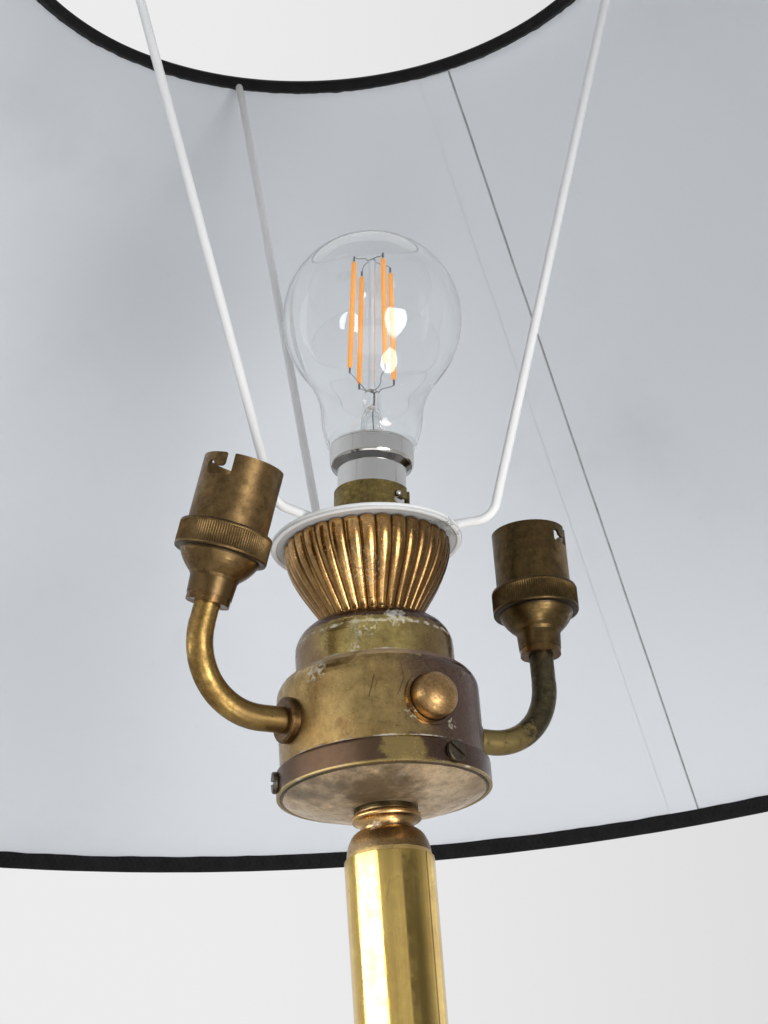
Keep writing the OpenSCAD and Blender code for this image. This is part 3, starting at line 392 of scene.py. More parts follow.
PATINA = patina_effect()
BAND = band_effect()
SPOT = spot_effect()
FLANK = flank_effect()
STROKE = stroke_effect()
SCRATCHES = scratch_effect()
WEAVE = weave_effect()
SMUDGES = smudge_effect()

# Colours of the stains, some of them also used for painted shade
CHALK = (0.60, 0.60, 0.54, 1.0)
PLUM = (0.165, 0.098, 0.082, 1.0)
SOOT = (0.035, 0.026, 0.018, 1.0)
OCHRE = (0.46, 0.33, 0.12, 1.0)
LICHEN = (0.42, 0.45, 0.33, 1.0)
RUSSET = (0.135, 0.082, 0.066, 1.0)
RUBBED = (0.20, 0.20, 0.19, 1.0)


# Layers over a finish: an effect, its values, a colour, how much of it shows, and a roughness where it
# covers the metal. Turns are in degrees from the camera's side and lengths in millimetres.

def lamp_band(height, spread, amount, grain):
    """The values of a band round the lamp, at a height above the head."""
    return {"Level": (HEAD_Z + height) * MM, "Spread": spread * MM, "Amount": amount, "Grain": grain * MM}


def tarnish_and_painted_light(height, spread, amount, grain, colour=PLUM, share=0.8):
    """A band of colour in the metal round the lamp: tarnish in some places, painted highlights and painted
    shade in others.
    """
    return BAND, lamp_band(height, spread, amount, grain), colour, share, None


def ringed(place, height, spread, amount, grain, colour=SOOT, share=0.8):
    """A band of colour round a leaning piece, at a height along its own axis: dark joints and stains, and on
    the bulb's cap a painted reflection.
    """
    axis = place.to_3x3() @ Vector((0, 0, 1))
    level = axis.dot(place @ Vector((0, 0, height)))
    values = {"Axis": axis, "Level": level * MM, "Spread": spread * MM, "Amount": amount, "Grain": grain * MM}
    return BAND, values, colour, share, None


def chalk_and_painted_light(height, spread, amount, grain, share=0.75, colour=CHALK):
    """A dull band round the lamp: chalky residue, and on the drum's shoulder painted light."""
    return BAND, lamp_band(height, spread, amount, grain), colour, share, 0.8


def spotted(turn, radius, height, reach, amount, grain, colour=CHALK, share=0.75, rough=0.8,
            edge=STAIN_EDGE):
    """A mark round one place: mostly a stain, in a few places painted shade and painted highlight; without a
    roughness it stays metal.
    """
    return SPOT, {"Place": on_lamp(turn, radius, height), "Reach": reach * MM, "Amount": amount,
                  "Grain": grain * MM, "Edge": edge}, colour, share, rough


def painted_side_shading(turn, low, high, drift, grain, colour=PLUM, share=0.8):
    """Painted light and shade down one side of the lamp: a colour blended into the metal there."""
    a = math.radians(CAMERA_TURN + turn)
    toward = Vector((math.cos(a), math.sin(a), 0))
    values = {"Toward": toward, "Low": low, "High": high, "Drift": drift, "Grain": grain * MM}
    return FLANK, values, colour, share, None


def scored(start, end, width, colour=SOOT, share=0.8):
    """A line between two places on the lamp: scratches, and down the column a painted dark reflection line.
    """
    values = {"Start": on_lamp(*start), "End": on_lamp(*end), "Width": width * MM}
    return STROKE, values, colour, share, None


# Finishes

def layered(tree, layers, colour, rough):
    """Lays each layer over a colour and a roughness; the third result masks what is no longer metal."""
    bare = None
    for group, values, cover, share, dull in layers:
        mask = use(tree, group, **values)["Mask"]
        colour = blend_colour(tree, sums(tree, "MULTIPLY", mask, share), colour, cover)
        if dull is not None:
            rough = blend_value(tree, mask, rough, dull)
            bare = mask if bare is None else sums(tree, "MAXIMUM", bare, mask)
    return colour, rough, bare


def aged_brass(name, bright, brown, dark, layers=(), patch=0.014, cover=0.5, gloss=0.3, matt=0.5, pits=0.4,
               scratches=0.35):
    """Brass with patina and scratches under layers of stains and of painted light and shade."""
    made, tree, shader = finish(name, Metallic=1.0)
    aged = use(tree, PATINA, Patch=patch, Cover=cover, Gloss=gloss, Matt=matt, Pits=pits,
               Bright=(*bright, 1.0), Brown=(*brown, 1.0), Dark=(*dark, 1.0))
    lines = use(tree, SCRATCHES, Spacing=0.011, Amount=scratches)["Mask"]
    colour = blend_colour(tree, lines, aged["Color"], (*dark, 1.0))
    colour, rough, bare = layered(tree, layers, colour, aged["Roughness"])
    tree.links.new(colour, shader["Base Color"])
    tree.links.new(rough, shader["Roughness"])
    if bare is not None:
        tree.links.new(sums(tree, "SUBTRACT", 1.0, bare), shader["Metallic"])
    bumped(tree, shader, aged["Height"], 0.25, 0.0002)
    return made


def polished_brass(name, colour, gloss, layers=()):
    """Bright brass with tarnish spots, upright streaks and hairline scratches."""
    made, tree, shader = finish(name, Metallic=1.0, Coat_Weight=0.4, Coat_Roughness=0.1)
    r, g, b = colour
    aged = use(tree, PATINA, Patch=0.02, Cover=0.32, Gloss=gloss, Matt=gloss + 0.08, Pits=0.5, Mottle=0.3,
               Bright=(r, g, b, 1.0), Brown=(r * 0.86, g * 0.8, b * 0.7, 1.0),
               Dark=(r * 0.66, g * 0.55, b * 0.42, 1.0))
    lines = use(tree, SCRATCHES, Spacing=0.016, Amount=0.5)["Mask"]
    shown = blend_colour(tree, lines, aged["Color"], (r * 0.5, g * 0.36, b * 0.3, 1.0))
    drawn = node(tree, "Mapping", {"Vector": at_rest(tree), "Scale": (1.0, 1.0, 0.04)}).outputs[0]
    streaks = cloud(tree, drawn, 320.0, 4.0, 0.65)
    tone = ease(tree, streaks, 0.3, 0.7, 0.84, 1.1)
    shown = scaled(tree, shown, tone)
    shown, rough, _ = layered(tree, layers, shown, aged["Roughness"])
    tree.links.new(shown, shader["Base Color"])
    tree.links.new(sums(tree, "ADD", rough, sums(tree, "MULTIPLY", lines, 0.2)), shader["Roughness"])
    bumped(tree, shader, sums(tree, "ADD", aged["Height"], streaks), 0.035, 0.0002)
    return made


def gilt_bronze():
    """The cup: rubbed gold on the crests of the flutes, brown in the grooves, with pale specks."""
    made, tree, shader = finish("gilt bronze", Metallic=1.0)
    aged = use(tree, PATINA, Patch=0.006, Cover=0.5, Gloss=0.13, Matt=0.28, Pits=0.5,
               Bright=(0.70, 0.42, 0.16, 1.0), Brown=(0.48, 0.265, 0.095, 1.0), Dark=(0.17, 0.09, 0.035, 1.0))
    crest = node(tree, "Attribute", attribute_name="crest").outputs["Fac"]
    groove = ease(tree, crest, 0.36, 0.72, 1.0, 0.0)
    soil = sums(tree, "MULTIPLY", groove, 0.85)
    colour = blend_colour(tree, soil, aged["Color"], (0.045, 0.024, 0.011, 1.0))
    rough = blend_value(tree, groove, aged["Roughness"], 0.55)
    colour, rough, bare = layered(tree, (
        # Painted shade down both sides of the cup, darkest on the right.
        painted_side_shading(72, 0.30, 0.85, 0.3, 6.0, (0.115, 0.062, 0.024, 1.0), 0.85),
        painted_side_shading(-78, 0.5, 1.0, 0.3, 6.0, (0.20, 0.115, 0.045, 1.0), 0.45),
        spotted(-6, 20.0, 66.0, 17.0, 0.42, 0.9, (0.40, 0.38, 0.31, 1.0), 0.7, 0.7),
        chalk_and_painted_light(CAP_TOP - HEAD_Z + 0.4, 0.9, 0.42, 2.0, 0.5),
    ), colour, rough)
    tree.links.new(colour, shader["Base Color"])
    tree.links.new(rough, shader["Roughness"])
    tree.links.new(sums(tree, "SUBTRACT", 1.0, bare), shader["Metallic"])
    bumped(tree, shader, aged["Height"], 0.4, 0.0002)
    return made


def enamel(name, worn, layers=()):
    """White paint on metal, with grey rubbed patches."""
    made, tree, shader = finish(name, Roughness=0.38)
    marks = use(tree, SMUDGES, Patch=0.02, Amount=worn)["Mask"]
    fine = cloud(tree, at_rest(tree), 420.0, 3.0)
    colour = blend_colour(tree, marks, (0.84, 0.84, 0.83, 1.0), (0.38, 0.38, 0.38, 1.0))
    colour, rough, _ = layered(tree, layers, colour, ease(tree, fine, 0.3, 0.7, 0.3, 0.5))
    tree.links.new(colour, shader["Base Color"])
    tree.links.new(rough, shader["Roughness"])
    bumped(tree, shader, fine, 0.12, 0.0002)
    return made


def shade_lining():
    """Pale blue-grey lining with faint stains, and two soft places of painted shade darkened towards black.
    """
    made, tree, shader = finish("shade lining", Roughness=0.62)
    place = at_rest(tree)
    stains = use(tree, SMUDGES, Patch=0.09, Amount=0.42)["Mask"]
    drift = cloud(tree, place, 5.0, 4.0)
    colour = blend_colour(tree, drift, (0.72, 0.755, 0.80, 1.0), (0.77, 0.80, 0.84, 1.0))
    colour = blend_colour(tree, stains, colour, (0.60, 0.62, 0.645, 1.0))
    # Painted shade: two soft places where the lining darkens towards black.
    for turn, radius, height, reach, share in ((145, 244, 217, 0.20, 0.17), (200, 145, 322, 0.18, 0.13)):
        away = vectors(tree, "DISTANCE", place, on_lamp(turn, radius, height))
        painted_shade = ease(tree, away, 0.0, reach, share, 0.0)
        colour = blend_colour(tree, painted_shade, colour, (0.0, 0.0, 0.0, 1.0))
    tree.links.new(colour, shader["Base Color"])
    fibres = cloud(tree, place, 700.0, 4.0)
    tree.links.new(ease(tree, fibres, 0.3, 0.7, 0.52, 0.7), shader["Roughness"])
    bumped(tree, shader, fibres, 0.08, 0.0003)
    return made


def woven(name, dark, pale, across, along, depth):
    """Cloth in a plain weave."""
    made, tree, shader = finish(name, Roughness=0.85, Sheen_Weight=0.05, Specular_IOR_Level=0.25)
    threads = use(tree, WEAVE, Across=across, Along=along)
    shown = sums(tree, "MULTIPLY", threads["Height"], threads["Tone"])
    tree.links.new(blend_colour(tree, shown, (*dark, 1.0), (*pale, 1.0)), shader["Base Color"])
    tree.links.new(ease(tree, threads["Tone"], 0.3, 0.7, 0.75, 0.95), shader["Roughness"])
    bumped(tree, shader, threads["Height"], depth, 0.0003)
    return made


def plain(name, dark, pale, low, high, grain=0.004, metal=0.0, depth=0.15, glow=0.0, layers=()):
    """A plain surface with a slight grain in colour and gloss; a glow paints light into its colour."""
    made, tree, shader = finish(name, Metallic=metal, Emission_Strength=glow)
    grains = cloud(tree, at_rest(tree), 1.0 / grain, 5.0)
    colour = blend_colour(tree, grains, (*dark, 1.0), (*pale, 1.0))
    colour, rough, _ = layered(tree, layers, colour, ease(tree, grains, 0.3, 0.7, low, high))
    tree.links.new(colour, shader["Base Color"])
    tree.links.new(rough, shader["Roughness"])
    if glow:
        tree.links.new(colour, shader["Emission Color"])
    bumped(tree, shader, grains, depth, 0.0003)
    return made


def clear_glass(name):
    """Clear glass with a trace of haze."""
    made, tree, shader = finish(name, Metallic=0.0, Transmission_Weight=1.0, IOR=1.46,
                                Base_Color=(0.985, 0.99, 0.99, 1.0))
    haze = use(tree, SMUDGES, Patch=0.03, Amount=0.03)["Mask"]
    tree.links.new(haze, shader["Roughness"])
    return made


COLUMN_BRASS = polished_brass("column brass", (0.88, 0.62, 0.185), 0.12, layers=(
    # Painted reflection: a thin dark line down the column's right side.
    scored((53.7, 13.5, -20.6), (52.5, 13.5, -1280.0), 0.5, (0.16, 0.09, 0.03, 1.0), 0.85),
))
DRUM_BRASS = aged_brass(
    "drum brass", (0.50, 0.345, 0.135), (0.37, 0.24, 0.092), (0.21, 0.125, 0.055), patch=0.022, cover=0.55,
    gloss=0.20, matt=0.34, layers=(
        # Painted shade down both sides of the drum, heaviest on the right.
        painted_side_shading(68, 0.60, 0.95, 0.5, 14.0, RUSSET, 0.88),
        painted_side_shading(-95, 0.5, 1.0, 0.5, 14.0, (0.28, 0.185, 0.085, 1.0), 0.45),
        # Painted light: a dull pale brown band on the drum's shoulder under the cap, lightening the shade
        # there.
        chalk_and_painted_light(35.4, 3.4, 0.62, 6.0, 0.8, (0.34, 0.235, 0.125, 1.0)),
        painted_side_shading(62, 0.55, 0.95, 0.5, 14.0, RUSSET, 0.8),
        tarnish_and_painted_light(4.4, 6.2, 0.86, 12.0, (0.10, 0.060, 0.046, 1.0), 0.86),
        spotted(-20, 31.0, 11.5, 9.0, 0.50, 6.0, (0.27, 0.165, 0.065, 1.0), 0.8, None),
        spotted(12, 31.5, 3.0, 14.0, 0.62, 7.0, OCHRE, 0.85, None),
        scored((-1.0, 31.0, 27.0), (-4.5, 31.0, 20.5), 0.32, SOOT, 0.55),
        scored((0.6, 31.0, 25.5), (-1.4, 31.0, 22.0), 0.22, SOOT, 0.4),
        scored((14.0, 31.0, 30.5), (15.0, 31.0, 25.5), 0.24, SOOT, 0.4),
        scored((15.0, 31.0, 25.5), (11.0, 31.0, 20.5), 0.28, SOOT, 0.45),
        chalk_and_painted_light(8.3, 0.8, 0.50, 5.0, 0.65),
        chalk_and_painted_light(36.6, 1.0, 0.46, 5.0, 0.65),
        # Painted highlight: a gold line along the lower edge of the band.
        tarnish_and_painted_light(0.2, 0.5, 0.9, 6.0, (0.55, 0.41, 0.17, 1.0), 0.8),
        chalk_and_painted_light(0.2, 0.7, 0.40, 4.0, 0.65),
        spotted(-36, 29.5, 32.0, 10.0, 0.49, 1.4, CHALK, 0.55),
        spotted(18, 31.0, 15.5, 5.0, 0.46, 1.2, LICHEN, 0.7),
        spotted(24, 31.0, 26.0, 4.0, 0.43, 1.0, LICHEN, 0.6),
        spotted(36, 31.5, 21.7, 11.5, 0.50, 1.1, LICHEN, 0.65),
        spotted(43, 31.0, 13.0, 5.0, 0.45, 1.2, LICHEN, 0.6),
    ))
CAP_BRASS = aged_brass(
    "cap brass", (0.54, 0.415, 0.15), (0.42, 0.305, 0.11), (0.19, 0.125, 0.06), patch=0.018, cover=0.5,
    gloss=0.20, matt=0.36, layers=(
        # Painted shade down both sides of the cap.
        painted_side_shading(78, 0.45, 0.9, 0.5, 12.0, (0.19, 0.115, 0.055, 1.0), 0.85),
        painted_side_shading(-80, 0.5, 1.0, 0.5, 12.0, PLUM, 0.7),
        # A dark plum band over the cap's top by the cup: plum tarnish, deepened as painted shade in the
        # crevice under the cup.
        tarnish_and_painted_light(51.8, 5.2, 0.84, 8.0, (0.10, 0.060, 0.050, 1.0), 0.92),
        spotted(-8, 24.5, 45.5, 14.0, 0.42, 1.3, CHALK, 0.55),
        chalk_and_painted_light(46.8, 1.6, 0.51, 2.2, 0.5),
        spotted(18, 24.0, 48.0, 8.0, 0.52, 1.4, CHALK, 0.6),
        spotted(-14, 24.5, 38.4, 4.5, 0.48, 1.0, CHALK, 0.7),
        scored((-12.5, 24.5, 46.0), (-11.5, 24.5, 40.0), 0.5, CHALK, 0.35),
        chalk_and_painted_light(37.4, 0.9, 0.46, 4.0, 0.6),
    ))
PAN_BRASS = aged_brass(
    "pan brass", (0.92, 0.70, 0.46), (0.69, 0.495, 0.29), (0.32, 0.20, 0.105), patch=0.02, cover=0.45,
    gloss=0.26, matt=0.40, layers=(
        # Painted shade: a near-black dull spot on the front of the pan's centre, darkening its reflection
        # there.
        spotted(-8, 19.5, -3.5, 25.0, 0.78, 7.0, (0.066, 0.040, 0.016, 1.0), 0.95, 0.5, 0.32),
        spotted(-56, 30.0, -1.0, 20.0, 0.64, 7.0, (0.17, 0.13, 0.085, 1.0), 0.85, None, 0.32),
        spotted(76, 31.0, -0.5, 13.0, 0.60, 7.0, (0.34, 0.225, 0.12, 1.0), 0.7, None, 0.3),
        spotted(14, 25.0, -2.6, 11.0, 0.42, 3.0, (0.26, 0.235, 0.17, 1.0), 0.6, 0.6, 0.15),
        tarnish_and_painted_light(-0.1, 0.4, 0.8, 9.0, SOOT, 0.85),
    ))
NECK_BRASS = aged_brass(
    "neck brass", (0.30, 0.185, 0.078), (0.205, 0.12, 0.048), (0.11, 0.06, 0.027), patch=0.012, cover=0.5,
    gloss=0.22, matt=0.36, layers=(
        # Painted light down the left side of the neck, painted shade down its right side.
        painted_side_shading(-62, 0.45, 0.95, 0.4, 5.0, (0.55, 0.38, 0.19, 1.0), 0.7),
        tarnish_and_painted_light(-8.8, 2.6, 0.84, 3.0, (0.78, 0.49, 0.20, 1.0), 0.9),
        painted_side_shading(78, 0.30, 0.90, 0.4, 8.0, (0.13, 0.075, 0.032, 1.0), 0.7),
        # Painted shade: a near-black ring in the recess under the pan.
        tarnish_and_painted_light(-5.4, 1.3, 0.95, 4.0, (0.06, 0.05, 0.024, 1.0), 0.9),
        tarnish_and_painted_light(-19.7, 1.2, 0.80, 3.0, (0.62, 0.43, 0.17, 1.0), 0.85),
        spotted(-22, 9.5, -11.6, 5.5, 0.50, 1.6, CHALK, 0.6),
        chalk_and_painted_light(-20.5, 0.4, 0.60, 4.0, 0.7),
    ))
BUTTON_BRASS = aged_brass(
    "button brass", (0.44, 0.275, 0.115), (0.36, 0.215, 0.09), (0.22, 0.12, 0.05), patch=0.006, cover=0.5,
    gloss=0.31, matt=0.42, pits=0.6)
LEFT_ARM = aged_brass(
    "left arm brass", (0.40, 0.265, 0.085), (0.24, 0.145, 0.047), (0.11, 0.065, 0.026), patch=0.008,
    cover=0.55, gloss=0.27, matt=0.44, layers=(
        spotted(-60, 42.0, 20.0, 20.0, 0.62, 5.0, (0.24, 0.155, 0.06, 1.0), 0.7, None),
    ))
# Painted shade: the right arm's brass is a much darker copy of the left arm's.
RIGHT_ARM = aged_brass(
    "right arm brass", (0.115, 0.092, 0.05), (0.065, 0.054, 0.031), (0.032, 0.03, 0.02), patch=0.008,
    cover=0.55, gloss=0.3, matt=0.5, layers=(
        spotted(120, 40.0, 20.0, 26.0, 0.64, 4.0, (0.34, 0.25, 0.095, 1.0), 0.8, None),
    ))
LEFT_HOLDER = aged_brass(
    "left holder brass", (0.205, 0.13, 0.055), (0.155, 0.098, 0.041), (0.085, 0.052, 0.023), patch=0.016,
    cover=0.5, gloss=0.30, matt=0.46, pits=0.3, scratches=0.2, layers=(
        ringed(HOLDERS["left"], 4.0, 8.0, 0.74, 4.0, (0.10, 0.062, 0.027, 1.0), 0.65),
        ringed(HOLDERS["left"], KNURL_LOW - 0.1, 0.6, 0.9, 3.0, SOOT, 0.75),
        ringed(HOLDERS["left"], KNURL_TOP + 0.1, 0.6, 0.9, 3.0, SOOT, 0.75),
    ))
# Painted shade: the right holder's brass is a much darker copy of the left holder's.
RIGHT_HOLDER = aged_brass(
    "right holder brass", (0.118, 0.077, 0.031), (0.088, 0.056, 0.023), (0.045, 0.028, 0.013), patch=0.014,
    cover=0.55, gloss=0.32, matt=0.48, pits=0.4, scratches=0.3, layers=(
        ringed(HOLDERS["right"], KNURL_LOW - 0.1, 0.6, 0.9, 3.0, SOOT, 0.75),
        ringed(HOLDERS["right"], KNURL_TOP + 0.1, 0.6, 0.9, 3.0, SOOT, 0.75),
        # Painted highlight: a lighter brass patch on the outer side of the right shell, near its rim.
        spotted(115, 73.0, 84.0, 18.0, 0.68, 8.0, (0.30, 0.20, 0.09, 1.0), 0.8, None, 0.2),
        spotted(113, 72.0, 62.0, 9.0, 0.46, 1.5, CHALK, 0.45),
    ))
CENTRE_BRASS = aged_brass(
    "middle holder brass", (0.30, 0.215, 0.07), (0.19, 0.14, 0.05), (0.095, 0.088, 0.042), patch=0.005,
    cover=0.55, gloss=0.32, matt=0.52)
SCREW_METAL = aged_brass(
    "screw metal", (0.14, 0.115, 0.08), (0.08, 0.068, 0.05), (0.04, 0.035, 0.03), patch=0.004, cover=0.5,
    gloss=0.3, matt=0.5)
FOOT_COPPER = aged_brass(
    "foot ring copper", (0.17, 0.10, 0.04), (0.12, 0.068, 0.028), (0.065, 0.036, 0.016), patch=0.008,
    cover=0.5, gloss=0.25, matt=0.42)
GILT = gilt_bronze()
STEEL = plain("nut steel", (0.42, 0.42, 0.43), (0.56, 0.56, 0.56), 0.28, 0.42, metal=1.0)
NICKEL = plain("bulb nickel", (0.66, 0.64, 0.605), (0.72, 0.70, 0.665), 0.08, 0.16, grain=0.01, metal=1.0,
               depth=0.02, layers=(
                   # Painted reflection: a dark band round the cap at its collar.
                   ringed(LEAN, COLLAR_Z + 0.3, 1.3, 0.85, 6.0, (0.15, 0.145, 0.14, 1.0), 0.8),
               ))
CONTACT_BRASS = plain("contact brass", (0.62, 0.46, 0.18), (0.74, 0.56, 0.24), 0.2, 0.34, metal=1.0)
IRON = plain("cast iron", (0.035, 0.035, 0.036), (0.07, 0.068, 0.066), 0.6, 0.8, grain=0.003, metal=0.6,
             depth=0.5)
BLACK = plain("moulded black", (0.014, 0.014, 0.015), (0.024, 0.024, 0.025), 0.35, 0.5)
PORCELAIN = plain("porcelain", (0.76, 0.74, 0.68), (0.82, 0.80, 0.75), 0.12, 0.24, grain=0.006, depth=0.05)
FELT = plain("green felt", (0.012, 0.030, 0.020), (0.03, 0.060, 0.042), 0.9, 1.0, grain=0.0009, depth=0.6)
WIRE_PAINT = enamel("wire paint", 0.12)
RING_PAINT = enamel("ring paint", 0.16, layers=(
    # A grey band on the ring's underside by the cup: worn paint, deepened as painted shade under the ring.
    tarnish_and_painted_light(81.3, 0.45, 0.9, 6.0, (0.49, 0.495, 0.49, 1.0), 0.9),
    spotted(60, 26.5, 81.3, 9.0, 0.55, 0.9, RUBBED, 0.75, 0.6),
    spotted(78, 27.0, 81.3, 7.0, 0.50, 0.9, RUBBED, 0.75, 0.6),
))
LINING = shade_lining()
COVER_CLOTH = woven("shade cover cloth", (0.010, 0.010, 0.011), (0.035, 0.034, 0.034), 2200.0, 6600.0, 0.5)
TAPE_CLOTH = woven("binding tape", (0.004, 0.004, 0.0045), (0.012, 0.0115, 0.012), 120.0, 5200.0, 0.6)
# Glue, darkened as a painted shadow along the lining's lap.
GLUE_AND_SHADOW = plain("glue line and painted seam shadow", (0.10, 0.10, 0.105), (0.50, 0.515, 0.53), 0.5, 0.7, grain=0.006)
GLASS = clear_glass("bulb glass")
# Painted light: the filament coat glows though the bulb is not lit.
PHOSPHOR = plain("filament coat", (0.95, 0.36, 0.06), (1.0, 0.45, 0.10), 0.5, 0.65, grain=0.001, glow=0.5)
LEAD_WIRE = plain("lead wire", (0.20, 0.20, 0.20), (0.34, 0.33, 0.32), 0.25, 0.4, metal=1.0)

NODE_FINISH = {
    COLUMN_BRASS: ["base_cover", "column_foot", "column_tube"],
    DRUM_BRASS: ["drum", "switch_sleeve"],
    SCREW_METAL: ["pan_screws"],
    CAP_BRASS: ["drum_cap"],
    PAN_BRASS: ["pan"],
    NECK_BRASS: ["neck"],
    BUTTON_BRASS: ["switch_button"],
    LEFT_ARM: ["left_arm"],
    RIGHT_ARM: ["right_arm"],
    FOOT_COPPER: ["left_foot_ring", "right_foot_ring", "left_collar", "right_collar"],
    LEFT_HOLDER: ["left_skirt", "left_knurl", "left_shell"],
    RIGHT_HOLDER: ["right_skirt", "right_knurl", "right_shell"],
    CENTRE_BRASS: ["centre_skirt", "centre_knurl", "centre_shell"],
    GILT: ["fluted_cup"],
    STEEL: ["base_nut", "tie_rod", "pan_nut", "top_stem", "stem_nut", "arm_nuts"],
    CONTACT_BRASS: ["centre_plungers", "left_plunger_a", "left_plunger_b", "right_plunger_a",
                    "right_plunger_b"],
    IRON: ["base_weight"],
    BLACK: ["cord_bushing", "switch_body", "bulb_contacts"],
    PORCELAIN: ["terminal_block", "left_insert", "right_insert", "centre_insert"],
    FELT: ["base_felt"],
    WIRE_PAINT: ["carrier_wire_back", "carrier_wire_left", "carrier_wire_right", "shade_top_wire",
                 "shade_bottom_wire"],
    RING_PAINT: ["carrier_ring"],
    LINING: ["shade_cone"],
    TAPE_CLOTH: ["shade_top_tape", "shade_bottom_tape"],
    GLASS: ["bulb_glass", "bulb_stem"],
    NICKEL: ["bulb_cap"],
    PHOSPHOR: ["bulb_filaments"],
    LEAD_WIRE: ["bulb_leads"],
}
for made, names in NODE_FINISH.items():
    for name in names:
        nodes[name].data.materials.clear()
        nodes[name].data.materials.append(made)


# Making meshes

def add_piece(name, points, faces, body, slot, materials, sharp=40.0, laid=None, face_finish=None,
              place=None):
    """A mesh in millimetres that rides on a body; laid gives a (u, v) for each point."""
    if place is not None:
        points = [place @ Vector(p) for p in points]
    mesh = bpy.data.meshes.new(name)
    mesh.from_pydata([[c * MM for c in p] for p in points], [], faces)
    for made in materials:
        mesh.materials.append(made)
    if face_finish:
        mesh.polygons.foreach_set("material_index", face_finish)
    if laid:
        layer = mesh.uv_layers.new(name="laid")
        for loop in mesh.loops:
            layer.data[loop.index].uv = laid[loop.vertex_index]
    mesh.shade_smooth()
    mesh.set_sharp_from_angle(angle=math.radians(sharp))
    made = bpy.data.objects.new(name, mesh)
    bpy.context.scene.collection.objects.link(made)
    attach(made, body)
    return made


def joined(*meshes):
    """Several (points, faces) as one."""
    points, faces = [], []
    for more, skin in meshes:
        faces += [tuple(len(points) + i for i in face) for face in skin]
        points += more
    return points, faces


def around_z(radius, turn, up):
    """A point at a radius and a turn about Z."""
    return (radius * math.cos(turn), radius * math.sin(turn), up)


def loops(rows, around, ring=True):
    """The faces between rows of points that go round."""
    return [(k * around + i, k * around + (i + 1) % around, (k + 1) % rows * around + (i + 1) % around,
             (k + 1) % rows * around + i) for k in range(rows if ring else rows - 1) for i in range(around)]


def turned(profile, steps=96, ring=True):
    """A profile of (radius, height), upwards on its outside, turned round Z."""
    points = [around_z(r, math.tau * i / steps, z) for r, z in profile for i in range(steps)]
    return points, loops(len(profile), steps, ring)


def rounded(corners, steps=5):
    """A closed or open line of (x, y, fillet) corners with each corner rounded."""
    line = []
    for k, (x, y, fillet) in enumerate(corners):
        here = Vector((x, y))
        if not fillet:
            line.append((x, y))
            continue
        before = (Vector(corners[k - 1][:2]) - here).normalized()
        after = (Vector(corners[(k + 1) % len(corners)][:2]) - here).normalized()
        half = before.angle(after) / 2
        reach = fillet / math.tan(half)
        centre = here + (before + after).normalized() * (fillet / math.sin(half))
        first, last = here + before * reach - centre, here + after * reach - centre
        turn = first.angle_signed(last)
        for i in range(steps + 1):
            spoke = first.copy()
            spoke.rotate(Matrix.Rotation(-turn * i / steps, 2))
            line.append(tuple(centre + spoke))
    return line


def swept(path, radius, sides=14):
    """A round bar of one radius along a path, with domed ends."""
    dome = (0.6, 1.1, 1.5)
    path = [Vector(p) for p in path]
    across = (path[1] - path[0]).orthogonal().normalized()
    rings = []
    for k, here in enumerate(path):
        way = (path[min(k + 1, len(path) - 1)] - path[max(k - 1, 0)]).normalized()
        across = (across - way * across.dot(way)).normalized()
        rings.append((here, way, across.copy(), radius))
    for end, sign in ((0, -1), (-1, 1)):
        here, way, across, _ = rings[end]
        domes = [(here + way * sign * radius * math.sin(a), way, across, radius * math.cos(a)) for a in dome]
        rings = domes[::-1] + rings if end == 0 else rings + domes
    points = []
    for here, way, across, r in rings:
        up = way.cross(across)
        points += [tuple(here + (across * math.cos(t) + up * math.sin(t)) * r)
                   for t in (math.tau * i / sides for i in range(sides))]
    faces = loops(len(rings), sides, ring=False)
    faces.append(tuple(range(sides - 1, -1, -1)))
    faces.append(tuple(range(len(points) - sides, len(points))))
    return points, faces


def bent(corners, radius, steps=8):
    """A path through corners, with its inner corners rounded to a radius."""
    corners = [Vector(c) for c in corners]
    path = [corners[0]]
    for before, here, after in zip(corners, corners[1:], corners[2:]):
        back, ahead = (before - here).normalized(), (after - here).normalized()
        half = back.angle(ahead) / 2
        reach = radius / math.tan(half)
        centre = here + (back + ahead).normalized() * (radius / math.sin(half))
        first, last = here + back * reach - centre, here + ahead * reach - centre
        turn = first.angle(last)
        axis = first.cross(last).normalized()
        path += [centre + Matrix.Rotation(turn * i / steps, 3, axis) @ first for i in range(steps + 1)]
    return path + [corners[-1]]


# The switch housing

def make_neck():
    """A bead under a groove, a hollow sweep to the waist, and a bell that ends on the column."""
    low = foot_of("neck")
    foot = top_of("column_tube")
    top = top_of("neck")
    bore = 5.15
    spigot = 11.925
    bell = 12.7
    bevel = 0.3
    waist = 7.9
    waist_z = HEAD_Z - 11.6
    sweep = 2.4
    sweep_h = 3.0
    bead_z = HEAD_Z - 8.4
    groove = 9.75
    quarter = [math.pi / 2 * i / 12 for i in range(13)]
    bell_z = foot + bevel
    profile = [(bore, low), (spigot, low), (spigot, foot), (bell - bevel, foot)]
    profile += [(waist + (bell - waist) * math.cos(a), bell_z + (waist_z - bell_z) * math.sin(a))
                for a in quarter]
    profile += [(waist + sweep * (1 - math.cos(a)), waist_z + sweep_h * math.sin(a)) for a in quarter[1:]]
    profile += [(10.45, bead_z), (10.55, bead_z + 0.4), (10.5, bead_z + 0.9), (10.3, bead_z + 1.3),
                (9.9, bead_z + 1.55), (groove, bead_z + 1.7), (groove, top), (bore, top)]
    points, faces = turned(profile, 128)
    neck = add_piece("turned_neck", points, faces, "stand", "aged_brass", [NECK_BRASS], sharp=40)
    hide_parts("neck")


def half_moon(radius, gap, steps=20):
    """The part of a disc on one side of a slot."""
    first = math.asin(gap / radius)
    return [(radius * math.cos(a), radius * math.sin(a))
            for a in (first + (math.pi - 2 * first) * i / steps for i in range(steps + 1))]


